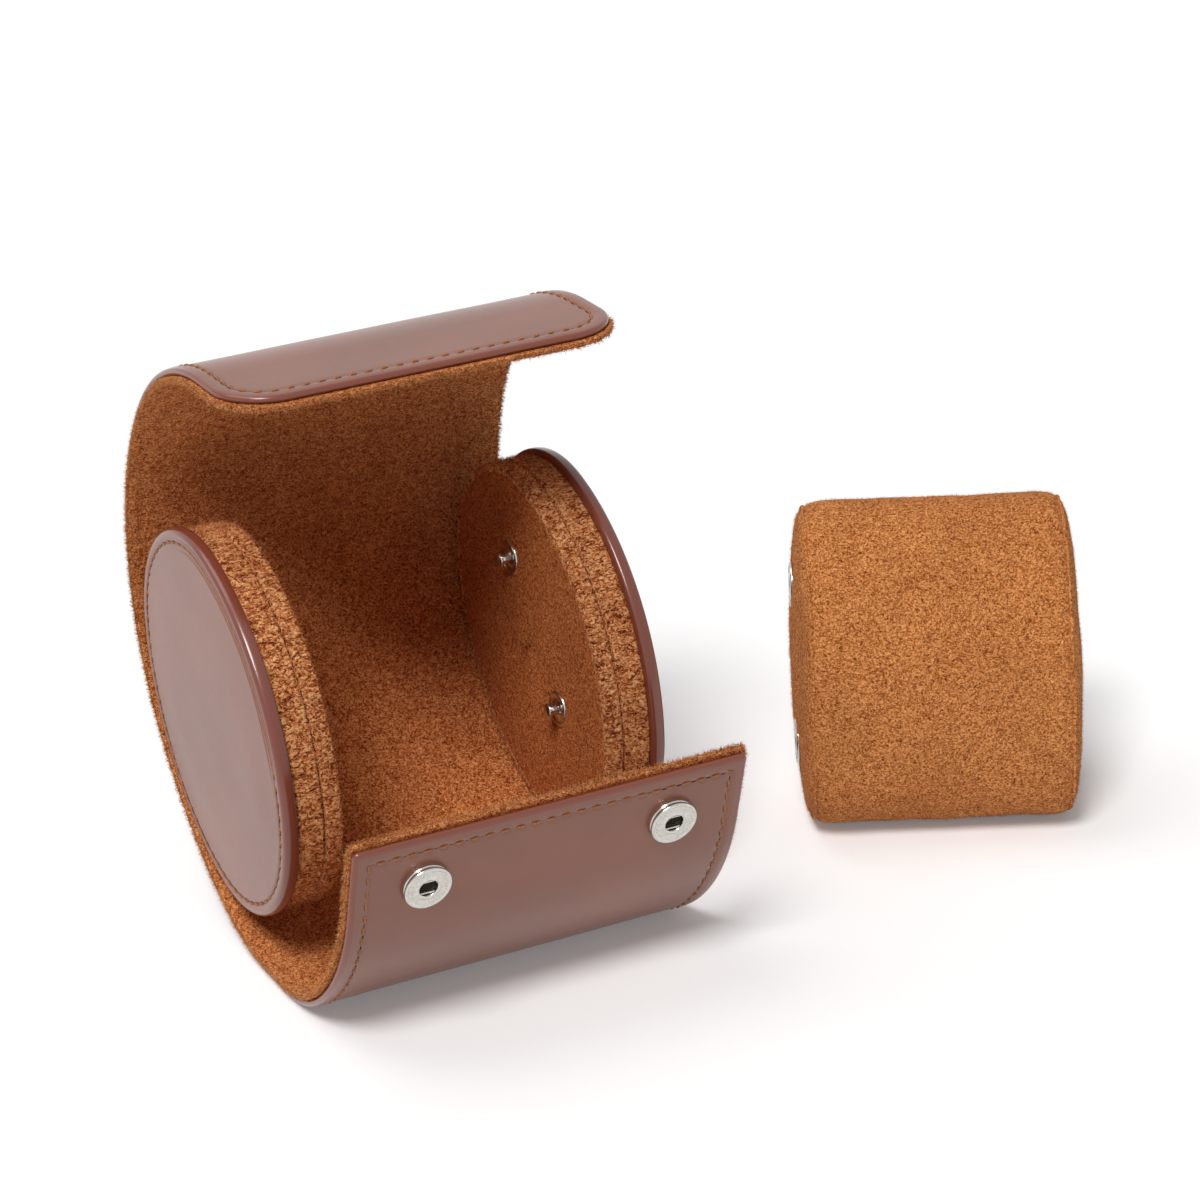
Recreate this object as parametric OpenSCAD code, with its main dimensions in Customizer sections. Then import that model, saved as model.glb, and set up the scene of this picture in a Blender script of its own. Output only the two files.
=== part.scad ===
// Travel roll for one wristwatch, standing open, with its cushion lifted out beside it.
// The wrap is one strip of three plies. Its section is a chain of straights and tangent
// arcs, walked from the tip of the front flap: down the front, under the base, up the back
// wall and forward over the top. Section frame: x along the roll, y towards its back, z up.
// The whole roll is then leaned back until its short base flat lies on the table.

/* [Wrap] */
// Width of the wrap along the roll
roll_w = 93; // [78:1:112]
// Height of the open roll's section, which scales the whole section
roll_h = 141; // [117.5:0.5:169.5]
// Lean of the roll back from upright, degrees
lean = 37.4; // [34:0.2:41]
// Thickness of the outer leather
leather_t = 0.8; // [0.6:0.05:1]
// Thickness of the stiffener inside the wrap
board_t = 0.9; // [0.75:0.05:1.1]
// Thickness of the suede lining
suede_t = 1.3; // [1:0.05:1.6]
// Width of the leather's turned edge, which hides the stiffener's edge
hem_w = 2.6; // [1.5:0.1:4]
// How far the lining shows past the leather at the sides
lip_side = 0.4; // [0.1:0.05:0.8]
// How far the lining shows past the leather at both tips
lip_tip = 1.0; // [0.2:0.1:1.6]
// Corner radius of the top flap
flap_corner_r = 13; // [9:0.5:15]
// Corner radius of the front flap
front_corner_r = 1.5; // [0.5:0.25:6]

/* [Ends] */
// Depth of an end plate, front to back
plate_w = 72.5; // [62:0.5:73]
// Height of an end plate
plate_h = 89.5; // [75:0.5:91]
// Radius of an end plate's top and bottom
plate_r = 32; // [26:0.5:34]
// Thickness of the leather-covered flange
flange_t = 3.3; // [2.2:0.1:5]
// Total depth of flange and plug
end_t = 14.4; // [11:0.2:18]
// How far the plug is stepped in from the flange's rim
plug_step = 1.4; // [0.6:0.1:3]
// Thickness of the suede on the plug and the cushion
skin_t = 1.0; // [0.7:0.1:1.4]
// How deep an end is set into the back wall's curve before it is trimmed to fit
plate_sink = 0.7; // [0.3:0.1:1.2]
// Height of an end's middle above the front flap's tip
plate_z = 46.5; // [44:0.5:49]

/* [Snaps] */
// Radius of a snap socket
socket_r = 5.5; // [4.8:0.1:6.2]
// Height of a snap socket above the leather
socket_h = 1.8; // [1.75:0.05:2]
// Radius of the socket's hole
hole_r = 2.15; // [2.1:0.01:2.25]
// Radius of a snap stud's base
stud_base_r = 4.3; // [3.6:0.1:5]
// Radius of the stud's bulb
bulb_r = 1.85; // [1.7:0.05:1.95]
// Number of ribs round a socket's face
rib_count = 36; // [18:2:48]
// Number of dots round a socket's face
dot_count = 14; // [8:1:18]
// Distance of the flap snaps from the wrap's side edges
snap_edge = 17.3; // [10:0.1:26]
// Distance of the front sockets from the flap's tip
socket_reach = 13; // [11:0.5:14]
// Distance of the top flap's studs from its tip
stud_reach = 11.5; // [8:0.1:14]
// Spacing of the two snaps that hold the cushion
cushion_snap_gap = 36.8; // [28:0.2:42]

/* [Cushion] */
// Length of the cushion, end to end
cushion_len = 63.6; // [53:0.2:76.5]
// Height of the cushion's section
cushion_h = 77; // [64:0.5:84]
// Thickness of the cushion's section
cushion_w = 50; // [44:0.5:58]
// Radius of the cushion's top and bottom
cushion_r = 20; // [16:0.5:21]
// Lean of the cushion back from upright, degrees
cushion_lean = 24; // [10:1:28]
// Turn of the cushion about the vertical, degrees
cushion_turn = -26.1; // [-40:0.1:0]
// How far the cushion's soft foot is pressed flat by its weight
cushion_press = 0.6; // [0.2:0.1:0.9]
// Radius of the seam welt round each cushion end
welt_r = 0.8; // [0.5:0.05:1]

/* [Hidden] */
eps = 0.01;
// every other step of a piece is this much slimmer and reaches into its neighbours
slim = 0.01;
weld = 0.5;
// named clearances
ply_gap = 0.03;
seat_gap = 0.05;
bore_gap = 0.06;
// overshoot of every cutting solid, and clearance between a washer and a turned hem
cut = 1;
hem_gap = 0.3;
// facets that the exact kernel turns back into round faces
$fn = 96;

// section scale and the chain of [radius, length or sweep]; radius 0 is a straight
k = roll_h / 141;
heading_0 = -36;
base_flat = 10 * k;
wall_index = 5;
chain = [
    [0, 17.5 * k],
    [60 * k, 36],
    [33.65 * k, lean],
    [0, base_flat],
    [50 * k, 67 - lean],
    [96.5 * k, 27],
    [68 * k, 76],
    [51.5 * k, 46],
    [0, 21 * k]];
// stations, along the outer line, where the wrap bends as it closes
bend_front = 22.1 * k;
bend_base = 101.6 * k;
bend_rear = 182.5 * k;
bend_top = 202.5 * k;
bend_flap = 229.6 * k;

wrap_t = leather_t + board_t + suede_t;
cover_t = leather_t + board_t;

// one step along the chain: state [y, z, heading], d measured on the outer line
function step_on(st, r, d) = r == 0
    ? [st[0] + d * cos(st[2]), st[1] + d * sin(st[2]), st[2]]
    : let (a = d / r * 180 / PI)
      [st[0] + r * (sin(st[2] + a) - sin(st[2])),
       st[1] - r * (cos(st[2] + a) - cos(st[2])), st[2] + a];
function piece_len(i) = chain[i][0] == 0 ? chain[i][1] : chain[i][0] * chain[i][1] * PI / 180;
function start_len(i) = i == 0 ? 0 : start_len(i - 1) + piece_len(i - 1);
function start_of(i) = i == 0 ? [0, 0, heading_0]
    : step_on(start_of(i - 1), chain[i - 1][0], piece_len(i - 1));
function piece_at(s, i = 0) = i == len(chain) - 1 || s <= start_len(i + 1) ? i : piece_at(s, i + 1);
function state_at(s) = let (i = piece_at(s)) step_on(start_of(i), chain[i][0], s - start_len(i));
function centre_of(i) = let (st = start_of(i))
    [st[0] - chain[i][0] * sin(st[2]), st[1] + chain[i][0] * cos(st[2])];
wrap_len = start_len(len(chain));

// oval: radius of the long side arcs, and the half angle they sweep
function side_r(w, h, r) = (pow(w / 2, 2) + pow(h / 2 - r, 2) - r * r) / (w - 2 * r);
function side_angle(w, h, r) = atan2(h / 2 - r, side_r(w, h, r) - w / 2);

// end plates, sized with the section and set against the back wall
pl_w = plate_w * k;
pl_h = plate_h * k;
pl_r = plate_r * k;
wall_c = centre_of(wall_index);
wall_in_r = chain[wall_index][0] - wrap_t;
plate_y = wall_c[0] + wall_in_r - pl_w / 2 + plate_sink;
plate_mid = [plate_y, plate_z * k];
stud_forward = 5.6 * k;
stud_rise = 1.7 * k;
stud_mid = [plate_y - stud_forward, plate_z * k + stud_rise];
// plug: place of the sewn seam in its width, the two ridges beside it, face inset
seam_share = 0.62;
ridge_w = 0.65;
ridge_h = 0.35;
ridge_root = 0.4;
ridge_split = 0.25;
face_inset = 0.2;

// snap heights: closed, the flap lining lies snap_gap above the front leather
snap_gap = 3.1;
stud_base_h = 1.0;
neck_r = 1.25;
bulb_top = 0.8;
bulb_deep = 0.5;
post_r = 1.0;
eyelet_r = 2.5;
eyelet_wall = 0.3;
backing_r = 4.5;
backing_h = 0.4;
washer_r = min(backing_r - 0.5, stud_reach - hem_w - hem_gap);
// socket ring: foot, waist, rim, face, collar, ribs and dots
foot_in = 0.25;
foot_h = 0.35;
waist_in = 0.5;
waist_z = 0.5;
waist_h = 0.25;
rim_in = 0.35;
rim_w = 0.35;
rim_soft = 0.15;
face_drop = 0.2;
collar_w = 0.55;
collar_soft = 0.2;
rib_len = 0.6;
rib_w = 0.22;
rib_h = 0.13;
dot_out = 1.2;
dot_r = 0.16;
dot_h = 0.1;
// stud: rolled rim of the base, dish inside it, shoulder, neck and bulb
stud_rim_w = 0.6;
stud_rim_soft = 0.3;
stud_rim_h = 0.8;
dish_h = 0.55;
shoulder_r = 2.3;
shoulder_w = 0.4;
neck_soft = 0.15;
bulb_slope = 0.2;
bulb_soft = 0.35;
bulb_crown = 0.9;
bulb_fall = 0.75;
wire_r = 0.22;
wire_off = 1.55;
wire_half = 3.3;
pocket_r = 3.8;
pocket_z = 0.9;

// cushion and placing of the whole set on the table
cushion_x = 173.5;
cushion_y = 55.8;
cushion_skin = 1.2;
flat_state = start_of(3);
ground = -flat_state[0] * sin(lean) + flat_state[1] * cos(lean);
cushion_z = (cushion_h / 2 - cushion_r) * cos(cushion_lean) + cushion_r - cushion_press;
cushion_side = side_r(cushion_w, cushion_h, cushion_r);
cushion_depth = cushion_side - (cushion_side - cushion_w / 2) * cos(cushion_lean);
x_far = cushion_x + cushion_len / 2 * cos(cushion_turn) - cushion_depth * sin(cushion_turn);
rear_c = centre_of(6);
y_far = rear_c[0] * cos(lean) + rear_c[1] * sin(lean) + chain[6][0];
shift_x = -(x_far - lip_side) / 2;
shift_y = -y_far / 2;

leather_col = [0.40, 0.23, 0.17];
edge_col = [0.36, 0.17, 0.10];
board_col = [0.62, 0.52, 0.38];
suede_col = [0.66, 0.36, 0.15];
foam_col = [0.80, 0.76, 0.66];
nickel_col = [0.80, 0.80, 0.78];
brass_col = [0.72, 0.58, 0.32];

// ---------- placing ----------

// the leaned roll on the table
module roll() {
    translate([shift_x, shift_y, -ground]) rotate([-lean, 0, 0]) children();
}

// section plane: first axis to y, second to z, third along the roll
module section() {
    rotate([90, 0, 90]) children();
}

// frame at a state of the outer line: x heading, y inwards, z along the roll
module at_state(st) {
    section() translate([st[0], st[1], 0]) rotate([0, 0, st[2]]) children();
}
module at_station(s) {
    at_state(state_at(s)) children();
}

// cushion frame: x along its axis from its left end, origin at mid-section
module cushion_frame() {
    translate([cushion_x + shift_x, cushion_y + shift_y, cushion_z])
        rotate([0, 0, cushion_turn]) rotate([-cushion_lean, 0, 0])
        translate([-cushion_len / 2, 0, 0]) children();
}

// cushion solids keep only what is above the table
module on_table() {
    reach = 200;
    difference() {
        children();
        translate([-reach, -reach, -reach]) cube([2 * reach, 2 * reach, reach]);
    }
}

// ---------- wrap ----------

// sweeps a [depth, x] outline along the chain from station s0 to s1; join0 and join1
// reach into a tip that starts there
module along(s0, s1, join0 = false, join1 = false) {
    for (i = [0:len(chain) - 1]) {
        first = start_len(i);
        last = first + piece_len(i);
        if (min(s1, last) - max(s0, first) > eps) {
            thin = i % 2 == 1;
            $slim = thin ? slim : 0;
            back = thin && (s0 < first - eps || join0) ? weld : 0;
            ahead = thin && (s1 > last + eps || join1) ? weld : 0;
            lo = max(s0, first) - back;
            hi = min(s1, last) + ahead;
            r = chain[i][0];
            if (r == 0)
                at_state(step_on(start_of(i), 0, lo - first))
                    rotate([90, 0, 90]) linear_extrude(hi - lo) children();
            else {
                c = centre_of(i);
                a0 = start_of(i)[2] + (lo - first) / r * 180 / PI;
                section() translate([c[0], c[1], 0]) rotate([0, 0, a0 - 90])
                    rotate_extrude(angle = (hi - lo) / r * 180 / PI)
                    translate([r, 0]) mirror([1, 0]) children();
            }
        }
    }
}

// leather cross-section: skin and the edges turned over the stiffener
module leather_outline() {
    g = $slim;
    translate([g, g]) square([leather_t - 2 * g, roll_w - 2 * g]);
    translate([g, g]) square([cover_t - 2 * g, hem_w - 2 * g]);
    translate([g, roll_w - hem_w + g]) square([cover_t - 2 * g, hem_w - 2 * g]);
}

module board_outline() {
    g = $slim + ply_gap;
    translate([leather_t + g, hem_w + g]) square([board_t - 2 * g, roll_w - 2 * hem_w - 2 * g]);
}

module lining_outline() {
    g = $slim;
    translate([cover_t + g, g - lip_side]) square([suede_t - 2 * g, roll_w + 2 * lip_side - 2 * g]);
}

// plan of a tip: length from the straight's start, grown or shrunk by g, corners r
module tip_plan(length, r, g, g_tip) {
    rr = max(r + g, eps);
    far = length + g_tip;
    wide = roll_w + 2 * g;
    translate([0, -g]) intersection() {
        union() {
            square([far - rr, wide]);
            translate([0, rr]) square([far, wide - 2 * rr]);
            for (x = [rr, wide - rr]) translate([far - rr, x]) circle(rr);
        }
        square([far, wide]);
    }
}

// slab of a tip between two depths
module tip_slab(d0, d1) {
    translate([0, d1, 0]) rotate([90, 0, 0]) linear_extrude(d1 - d0) children();
}

module leather_tip(length, r) {
    tip_slab(0, leather_t) tip_plan(length, r, 0, 0);
    tip_slab(leather_t, cover_t) difference() {
        tip_plan(length, r, 0, 0);
        translate([-eps, 0]) tip_plan(length + eps, r, -hem_w, -hem_w - eps);
    }
}

module board_tip(length, r) {
    tip_slab(leather_t + ply_gap, cover_t - ply_gap)
        tip_plan(length, r, -hem_w - ply_gap, -hem_w - ply_gap);
}

module lining_tip(length, r) {
    tip_slab(cover_t, wrap_t) tip_plan(length, r, lip_side, lip_tip);
}

// frame of the top flap's tip, and of the front flap's tip looking forward
module top_tip() {
    at_station(start_len(8)) children();
}
module front_tip() {
    at_station(piece_len(0)) translate([0, 0, roll_w]) rotate([0, 180, 0]) children();
}

// both sides of the wrap for the flap snaps
module snap_pair(s, depth, tilt) {
    for (x = [snap_edge, roll_w - snap_edge])
        at_station(s) translate([0, depth, x]) rotate([tilt, 0, 0]) children();
}
module at_sockets() {
    snap_pair(socket_reach, 0, 90) children();
}
module at_studs() {
    snap_pair(wrap_len - stud_reach, wrap_t, -90) children();
}

module panel_leather(s0, s1) {
    color(leather_col) roll() along(s0, s1) leather_outline();
}
module panel_board(s0, s1) {
    color(board_col) roll() along(s0, s1) board_outline();
}
module panel_lining(s0, s1) {
    color(suede_col) roll() along(s0, s1) lining_outline();
}

module back_leather() {
    panel_leather(bend_base, bend_rear);
}
module back_stiffener() {
    panel_board(bend_base, bend_rear);
}
module back_lining() {
    panel_lining(bend_base, bend_rear);
}
module rear_bend_leather() {
    panel_leather(bend_rear, bend_top);
}
module rear_bend_stiffener() {
    panel_board(bend_rear, bend_top);
}
module rear_bend_lining() {
    panel_lining(bend_rear, bend_top);
}
module top_bend_leather() {
    panel_leather(bend_top, bend_flap);
}
module top_bend_stiffener() {
    panel_board(bend_top, bend_flap);
}
module top_bend_lining() {
    panel_lining(bend_top, bend_flap);
}
module base_bend_leather() {
    panel_leather(bend_front, bend_base);
}
module base_bend_stiffener() {
    panel_board(bend_front, bend_base);
}
module base_bend_lining() {
    panel_lining(bend_front, bend_base);
}

// top flap: curved part, then the flat tip with its rounded corners
module top_flap_leather() {
    color(leather_col) roll() {
        along(bend_flap, start_len(8), join1 = true) leather_outline();
        top_tip() leather_tip(piece_len(8), flap_corner_r);
    }
}
module top_flap_stiffener() {
    color(board_col) roll() difference() {
        union() {
            along(bend_flap, start_len(8), join1 = true) board_outline();
            top_tip() board_tip(piece_len(8), flap_corner_r);
        }
        at_studs() stud_bore();
    }
}
module top_flap_lining() {
    color(suede_col) roll() difference() {
        union() {
            along(bend_flap, start_len(8), join1 = true) lining_outline();
            top_tip() lining_tip(piece_len(8), flap_corner_r);
        }
        at_studs() stud_bore();
    }
}

// front flap: flat tip with nearly square corners, then the first of the base curve
module front_flap_leather() {
    color(leather_col) roll() difference() {
        union() {
            along(piece_len(0), bend_front, join0 = true) leather_outline();
            front_tip() leather_tip(piece_len(0), front_corner_r);
        }
        at_sockets() eyelet_bore();
    }
}
module front_flap_stiffener() {
    color(board_col) roll() difference() {
        union() {
            along(piece_len(0), bend_front, join0 = true) board_outline();
            front_tip() board_tip(piece_len(0), front_corner_r);
        }
        at_sockets() eyelet_bore();
    }
}
module front_flap_lining() {
    color(suede_col) roll() {
        along(piece_len(0), bend_front, join0 = true) lining_outline();
        front_tip() lining_tip(piece_len(0), front_corner_r);
    }
}

// ---------- snaps ----------
// each is drawn with z out of the surface it sits on

// socket: stepped ring with a ribbed band, a ring of dots, a raised collar round the
// hole, and a pocket inside for the spring wires
module socket_ring() {
    foot_r = socket_r - foot_in;
    rim_r = socket_r - rim_in;
    waist_r = socket_r - waist_in;
    face_z = socket_h - face_drop;
    face_r = rim_r - rim_w - rim_soft;
    collar_r = hole_r + collar_w;
    waist_top = waist_z + waist_h;
    difference() {
        union() {
            rotate_extrude() polygon([
                [hole_r, 0], [foot_r, 0], [foot_r, foot_h], [waist_r, waist_z],
                [waist_r, waist_top], [socket_r, waist_top + face_drop], [socket_r, face_z],
                [rim_r, socket_h], [rim_r - rim_w, socket_h], [face_r, face_z],
                [collar_r + face_drop, face_z], [collar_r, socket_h],
                [hole_r + collar_soft, socket_h], [hole_r, face_z]]);
            for (i = [0:rib_count - 1]) rotate([0, 0, i * 360 / rib_count])
                translate([face_r - seat_gap - rib_len, -rib_w / 2, face_z - eps])
                cube([rib_len, rib_w, rib_h + eps]);
            for (i = [0:dot_count - 1]) rotate([0, 0, i * 360 / dot_count])
                translate([hole_r + dot_out, 0, face_z - eps])
                cylinder(h = dot_h + eps, r = dot_r, $fn = 16);
        }
        translate([0, 0, pocket_z]) cylinder(h = 2 * wire_r + seat_gap, r = pocket_r);
    }
}

// two straight spring wires that spread over the stud's bulb
module socket_wires() {
    for (s = [-1, 1])
        translate([s * wire_off, -wire_half, pocket_z + wire_r + eps]) rotate([-90, 0, 0])
            cylinder(h = 2 * wire_half, r = wire_r, $fn = 24);
}

// eyelet: backing disc on the ply below, and the tube that holds the ring
module eyelet(depth) {
    translate([0, 0, -depth]) rotate_extrude() polygon([
        [0, 0], [backing_r, 0], [backing_r, backing_h], [eyelet_r, backing_h],
        [eyelet_r, depth - seat_gap], [eyelet_r - eyelet_wall, depth - seat_gap],
        [eyelet_r - eyelet_wall, backing_h], [0, backing_h]]);
}

// room for an eyelet whose disc lies under the ply
module eyelet_bore() {
    d = cover_t;
    translate([0, 0, -d - cut]) cylinder(h = d + 2 * cut, r = eyelet_r + bore_gap);
    translate([0, 0, -d - cut]) cylinder(h = cut + backing_h + bore_gap, r = backing_r + bore_gap);
}

// stud: rimmed base, neck and bulb; its post runs back through the lining
module stud(post) {
    tip_h = snap_gap + bulb_deep;
    neck_h = snap_gap - bulb_top;
    crest_r = stud_base_r - stud_rim_soft;
    rotate_extrude() polygon([
        [0, -post], [post_r, -post], [post_r, 0], [stud_base_r, 0],
        [stud_base_r, stud_rim_h - stud_rim_soft], [crest_r, stud_rim_h],
        [crest_r - stud_rim_w, stud_rim_h], [crest_r - stud_rim_w - stud_rim_soft, dish_h],
        [shoulder_r, dish_h], [shoulder_r - shoulder_w, stud_base_h],
        [neck_r, stud_base_h + neck_soft], [neck_r, neck_h - bulb_slope],
        [bulb_r, neck_h + bulb_slope], [bulb_r, tip_h - bulb_fall],
        [bulb_r - bulb_soft, tip_h - bulb_fall / 3], [bulb_r - bulb_crown, tip_h], [0, tip_h]]);
}

// washer that the stud's post is riveted to, one ply down
module stud_backing(post) {
    translate([0, 0, -post]) difference() {
        cylinder(h = backing_h, r = washer_r);
        translate([0, 0, -cut]) cylinder(h = backing_h + 2 * cut, r = post_r + seat_gap);
    }
}

// room for a stud's post and backing through lining and stiffener
module stud_bore() {
    d = suede_t + board_t;
    translate([0, 0, -d - cut]) cylinder(h = d + 2 * cut, r = post_r + bore_gap);
    translate([0, 0, -d - cut]) cylinder(h = cut + backing_h + bore_gap, r = washer_r + bore_gap);
}

module front_flap_sockets() {
    color(nickel_col) roll() at_sockets() socket_ring();
}
module front_flap_socket_springs() {
    color(nickel_col) roll() at_sockets() socket_wires();
}
module front_flap_eyelets() {
    color(brass_col) roll() at_sockets() eyelet(cover_t);
}
module top_flap_studs() {
    color(nickel_col) roll() at_studs() stud(suede_t + board_t - ply_gap);
}
module top_flap_stud_backings() {
    color(brass_col) roll() at_studs() stud_backing(suede_t + board_t - ply_gap);
}

// ---------- ends ----------

// oval of width w and height h, four tangent arcs
module oval(w, h, r) {
    big = side_r(w, h, r);
    reach = h / 2 - r + r * sin(side_angle(w, h, r));
    for (s = [-1, 1]) translate([0, s * (h / 2 - r)]) circle(r);
    intersection() {
        translate([big - w / 2, 0]) circle(big);
        translate([w / 2 - big, 0]) circle(big);
        square([w, 2 * reach], center = true);
    }
}

// sweeps a [distance outwards, x] outline round the oval's rim
module round_oval(w, h, r) {
    big = side_r(w, h, r);
    a = side_angle(w, h, r);
    for (s = [0, 1]) {
        rotate([0, 0, 180 * s]) translate([w / 2 - big, 0, 0]) rotate([0, 0, -a])
            rotate_extrude(angle = 2 * a) translate([big, 0]) children();
        rotate([0, 0, 180 * s]) translate([0, h / 2 - r, 0]) rotate([0, 0, a])
            rotate_extrude(angle = 180 - 2 * a) translate([r, 0]) children();
    }
}

// place along the roll of a depth from an end's outer face
function band_x(side, d) = side < 0 ? d : roll_w - d;

// slab of an end between two depths from its outer face, stepped in by inset
module end_slab(side, d0, d1, inset) {
    x = side < 0 ? d0 : roll_w - d1;
    section() translate([plate_mid[0], plate_mid[1], x]) linear_extrude(d1 - d0)
        oval(pl_w - 2 * inset, pl_h - 2 * inset, pl_r - inset);
}

// keeps what is in front of the back wall's curved lining
module against_wall() {
    intersection() {
        children();
        section() translate([wall_c[0], wall_c[1], -cut])
            cylinder(h = roll_w + 2 * cut, r = wall_in_r - seat_gap);
    }
}

module end_leather(side) {
    color(edge_col) roll() against_wall() difference() {
        end_slab(side, 0, flange_t, 0);
        end_slab(side, leather_t, flange_t + cut, leather_t);
    }
}
module end_board(side) {
    color(board_col) roll() against_wall()
        end_slab(side, leather_t + ply_gap, flange_t, leather_t + ply_gap);
}
module plug_core(side) {
    color(foam_col) roll() difference() {
        end_slab(side, flange_t + ply_gap, end_t - skin_t - ply_gap, plug_step + skin_t + ply_gap);
        if (side > 0) at_plug_studs() stud_bore();
    }
}
// suede band with the raised double seam round it
module plug_band(side) {
    seam = flange_t + seam_share * (end_t - flange_t);
    off = (ridge_w + ridge_split) / 2;
    color(suede_col) roll() {
        difference() {
            end_slab(side, flange_t + ply_gap, end_t - skin_t, plug_step);
            end_slab(side, 0, end_t, plug_step + skin_t);
        }
        for (s = [-1, 1])
            section() translate([plate_mid[0], plate_mid[1], band_x(side, seam + s * off)])
                round_oval(pl_w - 2 * plug_step, pl_h - 2 * plug_step, pl_r - plug_step)
                polygon([
                    [-ridge_root, -ridge_w / 2], [0, -ridge_w / 2], [ridge_h, -ridge_w / 4],
                    [ridge_h, ridge_w / 4], [0, ridge_w / 2], [-ridge_root, ridge_w / 2]]);
    }
}
module plug_face(side) {
    color(suede_col) roll() difference() {
        end_slab(side, end_t - skin_t + ply_gap, end_t, plug_step + face_inset);
        if (side > 0) at_plug_studs() stud_bore();
    }
}
module at_plug_studs() {
    for (s = [-1, 1])
        translate([roll_w - end_t, stud_mid[0], stud_mid[1] + s * cushion_snap_gap / 2])
            rotate([0, -90, 0]) children();
}

module left_end_leather() {
    end_leather(-1);
}
module left_end_board() {
    end_board(-1);
}
module left_plug_core() {
    plug_core(-1);
}
module left_plug_band() {
    plug_band(-1);
}
module left_plug_face() {
    plug_face(-1);
}
module right_end_leather() {
    end_leather(1);
}
module right_end_board() {
    end_board(1);
}
module right_plug_core() {
    plug_core(1);
}
module right_plug_band() {
    plug_band(1);
}
module right_plug_face() {
    plug_face(1);
}
module right_plug_studs() {
    color(nickel_col) roll() at_plug_studs() stud(suede_t + board_t - ply_gap);
}
module right_plug_stud_backings() {
    color(brass_col) roll() at_plug_studs() stud_backing(suede_t + board_t - ply_gap);
}

// ---------- cushion ----------

module cushion_slab(x0, x1, inset) {
    section() translate([0, 0, x0]) linear_extrude(x1 - x0)
        oval(cushion_w - 2 * inset, cushion_h - 2 * inset, cushion_r - inset);
}
module at_cushion_snaps() {
    for (s = [-1, 1]) translate([0, 0, s * cushion_snap_gap / 2]) rotate([0, -90, 0]) children();
}

module cushion_core() {
    end = 2 * welt_r + ply_gap;
    color(foam_col) on_table() cushion_frame() difference() {
        cushion_slab(end, cushion_len - end, cushion_skin + ply_gap);
        at_cushion_snaps() eyelet_bore();
    }
}
module cushion_sleeve() {
    end = 2 * welt_r;
    color(suede_col) on_table() cushion_frame() difference() {
        cushion_slab(end, cushion_len - end, 0);
        cushion_slab(0, cushion_len, cushion_skin);
    }
}
module cushion_disc(x0) {
    color(suede_col) on_table() cushion_frame() difference() {
        cushion_slab(x0, x0 + 2 * welt_r, 2 * welt_r);
        at_cushion_snaps() eyelet_bore();
    }
}
module cushion_left_disc() {
    cushion_disc(0);
}
module cushion_right_disc() {
    cushion_disc(cushion_len - 2 * welt_r);
}
module cushion_welts() {
    r = welt_r - ply_gap;
    color(suede_col) on_table() cushion_frame() for (x = [welt_r, cushion_len - welt_r])
        section() translate([0, 0, x]) round_oval(cushion_w, cushion_h, cushion_r)
            translate([-welt_r, 0]) circle(r, $fn = 32);
}
module cushion_sockets() {
    color(nickel_col) cushion_frame() at_cushion_snaps() socket_ring();
}
module cushion_socket_springs() {
    color(nickel_col) cushion_frame() at_cushion_snaps() socket_wires();
}
module cushion_eyelets() {
    color(brass_col) cushion_frame() at_cushion_snaps() eyelet(cover_t);
}

back_leather();
back_stiffener();
back_lining();
rear_bend_leather();
rear_bend_stiffener();
rear_bend_lining();
top_bend_leather();
top_bend_stiffener();
top_bend_lining();
top_flap_leather();
top_flap_stiffener();
top_flap_lining();
top_flap_studs();
top_flap_stud_backings();
base_bend_leather();
base_bend_stiffener();
base_bend_lining();
front_flap_leather();
front_flap_stiffener();
front_flap_lining();
front_flap_sockets();
front_flap_socket_springs();
front_flap_eyelets();
left_end_leather();
left_end_board();
left_plug_core();
left_plug_band();
left_plug_face();
right_end_leather();
right_end_board();
right_plug_core();
right_plug_band();
right_plug_face();
right_plug_studs();
right_plug_stud_backings();
cushion_core();
cushion_sleeve();
cushion_left_disc();
cushion_right_disc();
cushion_welts();
cushion_sockets();
cushion_socket_springs();
cushion_eyelets();
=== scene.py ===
"""Looks of a travel roll for one wristwatch, standing open beside its lift-out cushion.

The wrap is a strip of three plies that follows one section line; its two ends are oval
covers with suede plugs; four snap sockets and four studs close it and hold the cushion.
Shapes are worked out in millimetres in the section's own terms (station along the outer
line, depth inwards, place across) and are put into the meshes in metres.
"""

from __future__ import annotations

import logging
import math
from dataclasses import dataclass, field
from enum import Enum
from functools import cached_property
from typing import Any, Callable, Sequence

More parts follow.
